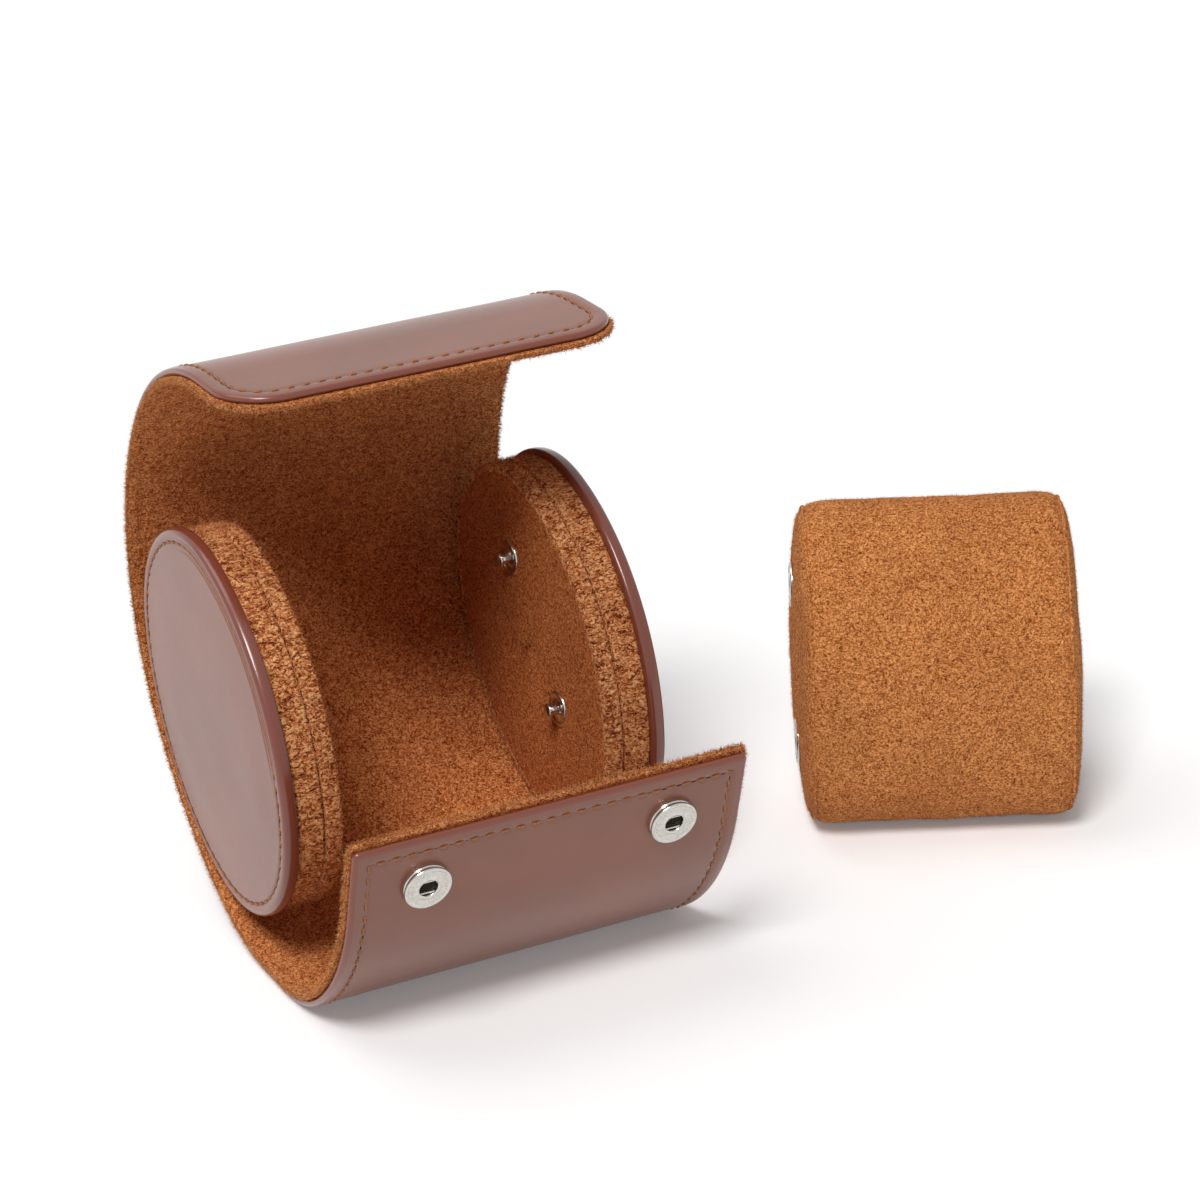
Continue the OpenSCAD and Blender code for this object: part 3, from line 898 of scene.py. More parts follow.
FINISHES = (
    Leather("wrap_leather"),
    Leather("end_leather", edge="77392a"),
    Suede("suede_tan"),
    Suede("suede_inner", "f29c5c", "bf622a", "6c2a0a"),
    Suede("suede_band", "ffc68a", "dc7b3f", "66260a", 0.7, 0.2, (0.55, 1.0, 1.0), 0.8),
    Suede("suede_fibres", "ffc68e", "e09052", "96501f"),
    Suede("suede_cushion", "ffb973", "de803d", "6e2d0a", 0.48, 0.18),
    Metal("bright_nickel"),
    Metal("spring_wire", "cfcdc8", 0.25),
    Metal("plain_brass", "b9964f", 0.35),
    Plain("waxed_thread", "b0703f", "6d3a1e", 0.3, 0.5),
    # Near-black painted shade of the needle holes; the band's dark seam thread uses the same colour.
    Plain("needle_hole", "2a130c", "190a06", 0.4, 0.9),
    Plain("fibre_board", "a08a66", "84704f", 0.9, 0.9),
    Plain("open_foam", "d2c8b0", "b0a58c", 0.9, 0.95, 0.2),
)


# ---------- small repeated things ----------


@dataclass(frozen=True)
class Fuzz:
    """Loose fibres that stand out of suede."""

    length: tuple[float, float] = (0.45, 1.3)
    width: float = 0.075
    lean: float = 0.9
    root: float = 0.15

    def grow(self, roots: Array, out: Array, seed: int) -> Form:
        """One fibre at each root.

        Formula: a three-sided spike from the root to a tip that lies a random length away,
        along the outward direction turned by a random part sideways.

        Args:
            roots: Root points in millimetres.
            out: Outward directions.
            seed: Seed of the random draws.

        Returns:
            Points and faces.
        """
        draw = np.random.default_rng(seed)
        n = len(roots)
        way = unit(unit(out) + self.lean * draw.normal(0, 0.55, (n, 3)))
        tip = roots + way * draw.uniform(*self.length, (n, 1))
        a = unit(np.cross(way, np.array([0.31, 0.77, 0.55])))
        ring = circles(roots - way * self.root, a, np.cross(way, a), self.width, 3)
        start = np.arange(n)[:, None] * 4
        tris = [start + np.array(corners) for corners in ([0, 1, 3], [1, 2, 3], [2, 0, 3], [2, 1, 0])]
        return np.concatenate([ring, tip[:, None]], 1), [np.concatenate(tris)]


@dataclass(frozen=True)
class Stitches:
    """Saddle stitches: short arched threads, and between each two a flat dark spindle that paints the shade
    of a needle hole.
    """

    pitch: float = 3.6
    thread: float = 2.5
    radius: float = 0.36
    rise: float = 0.2
    dive: float = 0.16
    tilt: float = 7.0
    hole: float = 0.7
    hole_width: float = 0.42
    hole_height: float = 0.035
    rings: int = 7
    sides: int = 6

    def spots(self, loop: Array) -> tuple[Array, Array]:
        """Even spots along a closed plan loop.

        Args:
            loop: Plan points round the loop, first one not repeated.

        Returns:
            Spots at half a pitch's spacing, and the unit tangent at each.
        """
        ends = np.vstack([loop, loop[:1]])
        run = np.concatenate([[0.0], np.cumsum(np.linalg.norm(np.diff(ends, axis=0), axis=1))])
        count = 2 * round(run[-1] / self.pitch)
        at = np.arange(count) * run[-1] / count
        spot, near, back = (
            np.stack([np.interp(at + off, run, ends[:, k], period=run[-1]) for k in (0, 1)], -1)
            for off in (0.0, 0.4, -0.4))
        return spot, unit(near - back)

    def sew(self, loop: Array, put: Lift, first: float = -math.inf,
            last: float = math.inf) -> list[tuple[str, str, Form]]:
        """Threads, and painted shade of the needle holes, along a closed loop.

        Formula: rings of points along each; a thread's centre rises as the square root of
        1 - t squared and its radius narrows at both ends, and a hole's painted shade is a flat
        dark spindle whose half width follows that root.

        Args:
            loop: Plan points round the loop.
            put: Turns plan coordinates and a height above the face into points.
            first: Least first coordinate of a spot.
            last: First coordinate beyond which spots are left out.

        Returns:
            Label, finish, and points and faces of the threads and of the painted hole shades.
        """
        spot, way = self.spots(loop)
        here = (spot[:, 0] >= first) & (spot[:, 0] < last)
        even = np.arange(len(spot)) % 2 == 0
        t = np.linspace(-1, 1, self.rings)[:, None]
        turn, tilt = turns(self.sides), math.radians(self.tilt)
        arch = np.sqrt(np.clip(1 - t * t, 0, 1))
        thick = self.radius * (0.45 + 0.55 * arch)
        lens = np.sqrt(np.clip(1 - t * t, 0.004, 1))
        across, up = self.hole_width * lens * np.cos(turn), self.hole_height * lens * np.sin(turn)
        rise = self.rise * arch - self.dive * (1 - arch)
        made = []
        for label, finish, which, lean, u, v, w in (
            ("stitches", "waxed_thread", here & even, tilt, t * self.thread / 2,
             thick * np.cos(turn), rise + 0.8 * thick * np.sin(turn)),
            # Painted shade of each needle hole: a flat near-black spindle lying on the face.
            ("needle_holes", "needle_hole", here & ~even, 0.0, t * self.hole, across, up - 0.005),
        ):
            x, y = way[which].T
            x, y = x * math.cos(lean) - y * math.sin(lean), x * math.sin(lean) + y * math.cos(lean)
            a, b = (spot[which][:, k, None, None] + u * along[:, None, None] + v * side[:, None, None]
                    for k, along, side in ((0, x, -y), (1, y, x)))
            made.append((label, finish, self.tubes(put(a, b, w + 0 * a))))
        return made

    def tubes(self, points: Array) -> Form:
        """Joins each spot's rings into a closed tube.

        Args:
            points: Points, spots by rings by sides by 3.

        Returns:
            Points and faces.
        """
        caps = np.stack([np.arange(self.sides)[::-1], np.arange(self.sides) + (self.rings - 1) * self.sides])
        step = np.arange(len(points))[:, None, None] * self.rings * self.sides
        return points, [(part + step).reshape(-1, part.shape[1])
                        for part in (ring_faces(self.rings, self.sides), caps)]


# ---------- wrap ----------


@dataclass
class Assembly:
    """A sub-assembly, with the pieces it has made."""

    path: WrapPath
    finishes: Finishes
    made: list[bpy.types.Object] = field(init=False, default_factory=list)

    def keep(self, obj: bpy.types.Object, hold: str | Stretch, slot: str, *nodes: str) -> bpy.types.Object:
        """Parents a finished piece to the empty of the body that carries it, or bakes a stretch's piece in
        place, and hides the CAD nodes that it replaces.

        Args:
            obj: The piece.
            hold: The body it rides on, or the stretch of wrap that it belongs to.
            slot: Not used.
            nodes: CAD nodes that it replaces.

        Returns:
            The piece.
        """
        if isinstance(hold, Stretch):
            hold.blend(obj, self.path)
        else:
            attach(obj, hold)
        if nodes:
            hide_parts(*nodes)
        self.made.append(obj)
        return obj


@dataclass
class Wrap(Assembly):
    """The strip of leather, stiffener and lining, with its stitching and lip fibres."""

    hem: float = 2.6
    play: float = 0.03
    lip_side: float = 0.4
    lip_tip: float = 1.0
    lip_inside: float = 1.5
    stitch_inset: float = 3.8
    groove: float = 0.16
    pit_depth: float = 0.72
    pit_radius: float = 4.4
    pit_station: float = 13.0
    pit_off: float = 29.2
    stitches: Stitches = Stitches()
    fuzz: Fuzz = Fuzz()
    fibres_each_mm: float = 20.0

    @cached_property
    def leather_plan(self) -> PlyPlan:
        """Grid of the leather with its turned edge, a half circle round the board."""
        cover, under = self.path.cover, self.path.leather
        half = cover / 2
        nose = [(half * (1 - math.cos(a)), half * (1 - math.sin(a)))
                for a in np.radians(np.linspace(-90, 90, 11))]
        inner = [(self.hem, cover)] + [(self.hem + 0.02 + 0.01 * k, under) for k in range(len(nose))]
        spread = (1.5, 2.1, 2.7, 3.2, 3.7, 4.2, 4.7, 5.2, 5.8, 6.6, 7.6, 8.8, 10.0, 11.4, 13.0)
        return PlyPlan(self.path, [(self.hem, cover), *nose], inner, 0.0, 0.0, spread, 1.1)

    @cached_property
    def lining_plan(self) -> PlyPlan:
        """Grid of the lining: a soft round edge that stands past the leather."""
        low, high = self.path.cover + 0.02, self.path.thickness
        outer = ((0.3, low), (0.08, low + 0.18), (0.0, low + 0.45), (0.02, low + 0.75),
                 (0.14, high - 0.16), (0.4, high - 0.03), (0.8, high))
        inner = [(inset, low) for inset in (0.3, 0.5, 0.7, 0.9, 1.05, 1.2, 1.4)]
        spread = (1.9, 2.6, 3.3, 4.0, 4.7, 5.4, 6.1, 6.8, 7.5, 8.2, 8.9, 9.6, 10.3, 11.0, 11.7, 12.5,
                  13.0 + self.lip_side)
        return PlyPlan(self.path, outer, inner, self.lip_side, self.lip_tip, spread, 0.72)

    @cached_property
    def board_plan(self) -> PlyPlan:
        """Grid of the stiffener between leather and lining."""
        top, low = self.path.leather + self.play, self.path.cover - self.play
        side = -(self.hem + 0.05)
        return PlyPlan(self.path, ((0.0, low), (0.0, top), (0.2, top)), ((0.0, low), (0.1, low), (0.2, low)),
                       side, side, (0.6, 3.0, 8.0, 13.0 + side), 3.0)

    def leather_relief(self, g: Grid) -> Array:
        """Depth that the outer face adds: stitch groove, raised edge, slow waves and pits.

        Args:
            g: The face's grid.

        Returns:
            Depths, 0 at the border.
        """
        q = g["q"]
        swells = ((self.groove, self.stitch_inset, 0.62), (-0.14, 2.2, 0.9), (0.06, 1.15, 0.3))
        waves = 0.05 * ripple(g["s"], g["x"], 34.0, 1.7) * smooth((q - 1.0) / 6.0)
        swell = sum(high * bell(q, at, width) for high, at, width in swells)
        return (swell + waves) * (q > 0) + self.pit_depth * self.pits(g)

    def leather_marks(self, g: Grid) -> dict[str, Array]:
        """Marks the turned edge, and the pits under the sockets where near-black shade is painted."""
        return {"rim": smooth((1.6 - g["q"]) / 1.3), "pit": self.pits(g)}

    def pits(self, g: Grid) -> Array:
        """Share of the pit under each socket's hole: 1 in its middle, 0 outside its foot. It sinks the
        leather and also marks where shade is painted into its colour.
        """
        off = np.hypot(g["s"] - self.pit_station, np.abs(g["x"] - self.path.width / 2) - self.pit_off)
        return smooth((self.pit_radius - off) / 1.4)

    def lining_relief(self, g: Grid) -> Array:
        """Depth that the lining adds: tufts of nap, the hem's seam and slow puffs.

        Args:
            g: The face's grid.

        Returns:
            Depths, 0 at the border.
        """
        tuft = 0.09 * scatter(g["s"], g["x"], 2.0) + 0.05 * ripple(g["s"], g["x"], 7.0, 0.4)
        seam = -0.22 * bell(g["q"], 3.6, 0.5) * (g["q"] > 0)
        puff = 0.1 * ripple(g["s"], g["x"], 26.0, 3.0)
        return np.where(g["ring"] > 0, tuft, 0.0) + (seam + puff) * smooth(g["q"] / 2.0)

    def build(self) -> None:
        """Makes every stretch of every ply, and what is sewn into it."""
        for part in STRETCHES:
            for shape, ply, finish, slot in (
                (self.leather_plan.solid(part, self.leather_relief, self.leather_marks),
                 "leather", "wrap_leather", "wrap_leather"),
                (self.board_plan.solid(part), "stiffener", "fibre_board", "stiffener"),
                (self.lining_plan.solid(part, self.lining_relief), "lining", "suede_tan", "suede"),
            ):
                obj = shape.build(f"{part.name}_{ply}", self.finishes[finish])
                self.keep(obj, part, slot, *part.nodes(ply))
            tip = 0.0 if part.tip is Tip.NONE else self.lip_tip
            flat = ((self.path.width + 2 * self.lip_side) * MM, (part.last - part.first + tip) * MM)
            f"{part.name}_stiffener"
            self.lip(part)
        for part in STRETCHES:
            self.stitching(part)

    def lip(self, part: Stretch) -> None:
        """Fibres along the lining's cut edge.

        Args:
            part: The stretch of wrap.
        """
        plan, path = self.lining_plan, self.path
        top = plan.lay(part, plan.outer)
        lines = [(top["s"][:, k], top["x"][:, k]) for k in (2, -3)]
        if part.tip is not Tip.NONE:
            row = 2 if part.tip is Tip.START else -3
            lines.append((top["s"][row], top["x"][row]))
        shape, most = Shape(), self.lip_inside
        for k, (s, x) in enumerate(lines):
            run = np.concatenate([[0.0], np.cumsum(np.hypot(np.diff(s), np.diff(x)))])
            draw = np.random.default_rng(40 + k + len(part.name))
            at = draw.uniform(0, run[-1], int(run[-1] * self.fibres_each_mm))
            sa, xa = np.interp(at, run, s), np.interp(at, run, x)
            root = path.place(sa, path.cover + path.suede * draw.uniform(0.1, 1.05, len(at)), xa)
            inside = path.place(np.clip(sa, most, path.length - most), path.cover + 0.75 * path.suede,
                                np.clip(xa, most, path.width - most))
            shape.add(*self.fuzz.grow(root, root - inside, 7 * k + len(part.name)))
        self.keep(shape.build(f"{part.name}_lip_fibres", self.finishes["suede_fibres"]), part, "suede")

    @cached_property
    def seam_loop(self) -> Array:
        """Plan loop of the stitch line, a fixed inset from the leather's edge.

        Formula: a rectangle whose top corners are quarter circles and whose front corners
        are sharp.
        """
        p, w, length = self.stitch_inset, self.path.width, self.path.length
        r = STRETCHES[-1].corner - p
        turn = np.radians(np.linspace(0, 90, 16))
        right = np.stack([length - p - r + r * np.sin(turn), w - p - r + r * np.cos(turn)], -1)
        left = np.stack([length - p - r + r * np.cos(turn), p + r - r * np.sin(turn)], -1)
        return np.concatenate([[[p, w - p]], right, left, [[p, p]]])

    def stitching(self, part: Stretch) -> None:
        """Threads, and the painted shade of the needle holes, of one stretch.

        Args:
            part: The stretch of wrap.
        """
        low = -math.inf if part.tip is Tip.START else part.first
        high = math.inf if part.tip is Tip.END else part.last
        put = lambda a, b, w: self.path.place(a, self.groove - w, b)
        for label, finish, form in self.stitches.sew(self.seam_loop, put, low, high):
            obj = Shape().add(*form).build(f"{part.name}_{label}", self.finishes[finish])
            self.keep(obj, part, "wrap_leather")


# ---------- ends ----------


@dataclass(frozen=True)
class Oval:
    """An oval of four tangent arcs."""

    width: float
    height: float
    end: float

    @cached_property
    def side(self) -> float:
        """Radius of the long side arcs."""
        w, h, r = self.width, self.height, self.end
        return ((w / 2) ** 2 + (h / 2 - r) ** 2 - r * r) / (w - 2 * r)

    def spokes(self, count: int) -> tuple[Array, Array, Array]:
        """Arc centre, arc radius and outward direction at even steps round the oval.

        Formula: walk the four arcs by length; where the direction's angle lies within the
        side arc's half sweep the centre is the side arc's, otherwise the end arc's.

        Args:
            count: Number of steps.

        Returns:
            Centres, radii and unit directions. A point at inset p is centre + (radius - p)
            times the direction.
        """
        half = math.atan2(self.height / 2 - self.end, self.side - self.width / 2)
        edges = np.cumsum([0.0] + [self.side * 2 * half, self.end * (math.pi - 2 * half)] * 2)
        angles = np.array([-half, half, math.pi - half, math.pi + half, 2 * math.pi - half])
        at = (np.arange(count) + 0.5) * edges[-1] / count
        angle = np.interp(at, edges, angles)
        which = np.clip(np.searchsorted(edges, at, side="right") - 1, 0, 3)
        off, tall = self.width / 2 - self.side, self.height / 2 - self.end
        centres = np.array([[off, 0.0], [0.0, tall], [-off, 0.0], [0.0, -tall]])[which]
        radii = np.array([self.side, self.end])[which % 2]
        return centres, radii, np.stack([np.cos(angle), np.sin(angle)], -1)

    def ring(self, inset: float, count: int) -> Array:
        """Points of the oval at an inset, two values a row."""
        centre, radius, way = self.spokes(count)
        return centre + (radius - inset)[:, None] * way

    def cap(self, profile: Profile, relief: Lift, count: int, shrink: int = 14) -> Form:
        """A closed cap: rings that step in from the rim, then shrink to the middle.

        Formula: each profile point (inset, height) becomes a ring of the oval at that inset.
        Past the last one the ring's points move in a straight line to the oval's middle.

        Args:
            profile: Ring insets and heights, from the hidden back to the face.
            relief: Height to add, from coordinates a, b and the distance from the rim.
            count: Points in a ring.
            shrink: Steps from the last ring to the middle.

        Returns:
            Points (a, b, height) and face arrays; a fan closes the middle.
        """
        rings = [np.column_stack([self.ring(inset, count), np.full(count, high)]) for inset, high in profile]
        dist = [np.full(count, inset) for inset, _ in profile]
        edge, (last, high) = rings[-1][:, :2], profile[-1]
        reach = np.linalg.norm(edge, axis=1)
        for t in np.linspace(1, 0, shrink + 1)[1:-1]:
            rings.append(np.column_stack([edge * t, np.full(count, high)]))
            dist.append(last + reach * (1 - t))
        points = np.vstack([*rings, [[0.0, 0.0, high]]])
        dist.append([reach.min() + last])
        points[:, 2] += relief(points[:, 0], points[:, 1], np.concatenate(dist))
        i = np.arange(count)
        start = (len(rings) - 1) * count
        fan = np.stack([start + i, start + (i + 1) % count, np.full(count, len(points) - 1)], -1)
        return points, [ring_faces(len(rings), count), fan, i[::-1][None, :]]


class Side(Enum):
    """The two ends of the roll, by the direction in which each faces outwards."""

    LEFT = -1
    RIGHT = 1


@dataclass
class EndPiece(Assembly):
    """One end of the roll: stitched leather cover, and a suede plug on its inner side."""

    side: Side
    width: float = 72.5
    height: float = 89.5
    end_radius: float = 32.0
    flange: float = 3.3
    depth: float = 14.4
    step: float = 1.4
    sink: float = 0.7
    middle_height: float = 46.5
    stitch_inset: float = 3.1
    seam_share: float = 0.6
    count: int = 320
    band_fibres: int = 9000
    furrows: tuple[tuple[float, float], ...] = ((1.9, 0.24), (2.9, 0.36), (4.0, 0.24))
    stitches: Stitches = Stitches(pitch=3.3, thread=2.3, radius=0.32, tilt=11.0)
    seam: Stitches = Stitches(pitch=3.0, radius=0.16)
    fuzz: Fuzz = Fuzz((0.45, 1.3), 0.08)

    @cached_property
    def oval(self) -> Oval:
        """Outline of the cover."""
        return Oval(self.width, self.height, self.end_radius)

    @cached_property
    def name(self) -> str:
        """The side's name, as its pieces carry it."""
        return self.side.name.lower()

    @cached_property
    def middle(self) -> Array:
        """The oval's middle in section coordinates: the plate leans on the back wall."""
        path = self.path
        inner = path.radii[path.wall_step] - path.thickness
        return np.array([path.centre(path.wall_step)[0] + inner - self.width / 2 + self.sink,
                         self.middle_height])

    def put(self, points: Array) -> Array:
        """Turns (a, b, height) into points of the row frame.

        Formula: a runs to the section's back, b up, and height inwards from the outer face.

        Args:
            points: Three values on the last axis.

        Returns:
            Points of the row frame in millimetres.
        """
        a, b, inward = points[..., 0], points[..., 1], points[..., 2]
        x = inward if self.side is Side.LEFT else self.path.width - inward
        return self.path.world(x, a + self.middle[0], b + self.middle[1])

    def piece(self, label: str, form: Form, finish: str, slot: str, node: str = "",
              turned: Side = Side.RIGHT, rim: Array | None = None) -> None:
        """One piece of the end, on the case.

        Args:
            label: The piece's name after its side's.
            form: Points of the row frame, and faces.
            finish: Name of its finish.
            slot: Not used.
            node: CAD node that it replaces, after its side's name.
            turned: The side on which the faces have to be turned round.
            rim: Mark of the turned edge a point.
        """
        shape = Shape().add(*form, flip=self.side is turned)
        if rim is not None:
            shape.marks["rim"] = rim
        obj = shape.build(f"{self.name}_{label}", self.finishes[finish])
        self.keep(obj, "case", slot, *([f"{self.name}_{node}"] if node else []))

    def build(self) -> None:
        """Makes cover, stitching and plug."""
        self.cover()
        self.stitching()
        self.band()
        self.face()

    def creased(self, a: Array, b: Array) -> Array:
        """Share of the front side where the leather was pulled into creases."""
        return smooth((-a - 4.0) / 14.0) * smooth((b + 26.0) / 14.0) * smooth((44.0 - b) / 8.0)

    def cover(self) -> None:
        """Leather cover: flat face, round rim, and creases beside the front rim.

        Formula: the face stands proud by a shallow dome; a groove runs under the stitches;
        three narrow furrows follow the rim where the leather was pulled round.
        """
        f = self.flange
        profile = [(3.0, f), (0.7, f), (0.3, f - 0.12), (0.08, f - 0.4), (0.0, f - 0.8), (0.02, f - 1.3),
                   (0.05, f - 1.8), (0.16, 0.95), (0.34, 0.58), (0.6, 0.31), (0.95, 0.13), (1.4, 0.04)]
        profile += [(q, 0.0) for q in (*np.arange(1.6, 5.2, 0.2), 5.4, 6.2, 7.2, 9.0)]

        def relief(a: Array, b: Array, q: Array) -> Array:
            """Height added to the cover's face, inwards.

            Args:
                a: Coordinate to the section's back.
                b: Coordinate upwards.
                q: Distance from the rim.

            Returns:
                Heights.
            """
            front = self.creased(a, b)
            groove = 0.2 * bell(q, self.stitch_inset, 0.45) * (1 - 0.75 * front)
            furrow = sum(d * bell(q - p, 0.25 * ripple(b, a, 50.0, p), 0.28) for p, d in self.furrows)
            dome = -0.35 * smooth((q - 2.0) / 16.0)
            return (groove + furrow * front + dome + 0.05 * ripple(a, b, 30.0, 4.0)) * (q > 1.45)

        points, faces = self.oval.cap(profile, relief, self.count)
        inset = np.repeat([p for p, _ in profile], self.count)
        rim = np.append(smooth((1.9 - inset) / 1.1), np.zeros(len(points) - len(inset)))
        self.piece("cover", (self.put(points), faces), "end_leather", "end_leather", "end_leather",
                   Side.LEFT, rim)

    def stitching(self) -> None:
        """Stitches round the cover; in the creases they lie deeper."""
        put = lambda a, b, w: self.put(np.stack([a, b, 0.17 + 0.3 * self.creased(a, b) - w], -1))
        for label, finish, form in self.stitches.sew(self.oval.ring(self.stitch_inset, self.count), put):
            self.piece(f"cover_{label}", form, finish, "end_leather", turned=Side.LEFT)

    def band(self) -> None:
        """Suede band of the plug: a closed ring with a sewn seam between two soft ridges.

        Formula: a profile of (inset, height) swept round the oval. The ridges are bell curves
        on both sides of a narrow groove, and the nap is a random push along the profile.
        """
        low, high, step = self.flange + 0.1, self.depth, self.step
        h = np.linspace(low + 0.25, high - 0.9, 26)
        seam = low + self.seam_share * (high - low)
        ridge = 0.5 * (bell(h - seam, 0.75, 0.5) + bell(h - seam, -0.75, 0.5))
        puff = 0.45 * np.sin(np.pi * np.clip((h - low) / (seam - low), 0, 1)) ** 0.7
        puff += 0.35 * np.sin(np.pi * np.clip((h - seam) / (high - seam), 0, 1))
        inset = step + 0.25 + 0.75 * bell(h, seam, 0.22) - ridge * 0.55 - puff * 0.6
        turn = np.radians(np.linspace(0, 90, 6))[1:]
        round_in = [(inset[-1] + 1.0 - math.cos(t), high - 0.9 + 0.9 * math.sin(t)) for t in turn]
        p = np.array([(step + 3.4, low), (step + 0.5, low), *zip(inset, h), *round_in,
                      (step + 3.4, high - 0.3), (step + 3.4, 0.5 * (low + high))])
        centre, radius, way = self.oval.spokes(self.count)
        level = np.tile(p[:, 1], (self.count, 1))
        row = np.arange(len(p))
        spot = centre + radius[:, None] * way
        nap = 0.075 * scatter(spot[:, :1] + 0 * level, level * 7.0, 5.0)
        wave = 0.1 * ripple(spot[:, :1] + 0.4 * level, spot[:, 1:], 11.0, 2.0)
        draft = p[:, 0] + (nap + wave) * ((row > 1) & (row < len(p) - 2))
        ring = centre[:, None] + (radius[:, None] - draft)[..., None] * way[:, None]
        points = np.concatenate([ring, level[..., None]], -1)
        quads = ring_faces(self.count, len(p), closed=True)[:, [0, 3, 2, 1]]
        self.piece("band", (self.put(points), [quads]), "suede_band", "suede", "plug_band")
        self.piece("band_seam", self.seam_tubes(seam), "needle_hole", "suede_welt")
        draw = np.random.default_rng(17)
        pick, row = (draw.integers(low, high, self.band_fibres)
                     for low, high in ((0, self.count), (3, len(p) - 3)))
        root = points[pick, row]
        inside = np.column_stack([np.zeros((len(root), 2)), root[:, 2:] - 1.5])
        form = self.fuzz.grow(self.put(root), self.put(root) - self.put(inside), 18)
        hair = Shape().add(*form).build(f"{self.name}_band_fibres", self.finishes["suede_band"])
        self.keep(hair, "case", "suede")

    def seam_tubes(self, height: float) -> Form:
        """Dark stitches in the band's groove: short tubes that follow the oval.

        Args:
            height: Height of the groove above the cover's outer face.

        Returns:
            Points and faces.
        """
        sewn, fine = self.seam, 6
        count = 2 * round(240 / sewn.pitch)
        centre, radius, way = self.oval.spokes(count * fine)
        at = (np.arange(0, count, 2) * fine)[:, None] + np.linspace(0, fine - 1, sewn.rings)
        idx = at.astype(int) % (count * fine)
        t = np.linspace(-1, 1, sewn.rings)
        r = sewn.radius * np.sqrt(np.clip(1 - t * t, 0.05, 1))[None, :, None]
        turn = turns(sewn.sides)
        inset = np.repeat(self.step + 0.78 + r * np.cos(turn), len(idx), axis=0)
        flat = centre[idx][:, :, None] + (radius[idx][..., None] - inset)[..., None] * way[idx][:, :, None]
        high = height + r * np.sin(turn) + 0 * inset
        return sewn.tubes(self.put(np.concatenate([flat, high[..., None]], -1)))

    def face(self) -> None:
        """Suede face of the plug: a low crown with nap."""
        inset, high = self.step + 1.2, self.depth
        oval = Oval(self.width - 2 * inset, self.height - 2 * inset, self.end_radius - inset)
        profile = [(1.5, high - 1.6), (0.0, high - 1.5), (-0.1, high - 0.7), (0.25, high - 0.22),
                   (0.7, high - 0.06), (1.2, high)]
        profile += [(q, high) for q in np.arange(1.9, 12.0, 0.75)]

        def relief(a: Array, b: Array, q: Array) -> Array:
            """Height added to the face, inwards."""
            nap = 0.09 * scatter(a, b, 9.0) + 0.06 * ripple(a, b, 8.0, 6.0)
            return (nap + 0.35 * smooth(q / 14.0)) * (q > 0.2)

        points, faces = oval.cap(profile, relief, self.count, shrink=34)
        self.piece("plug_face", (self.put(points), faces), "suede_inner", "suede_inner", "plug_face")


# ---------- cushion ----------


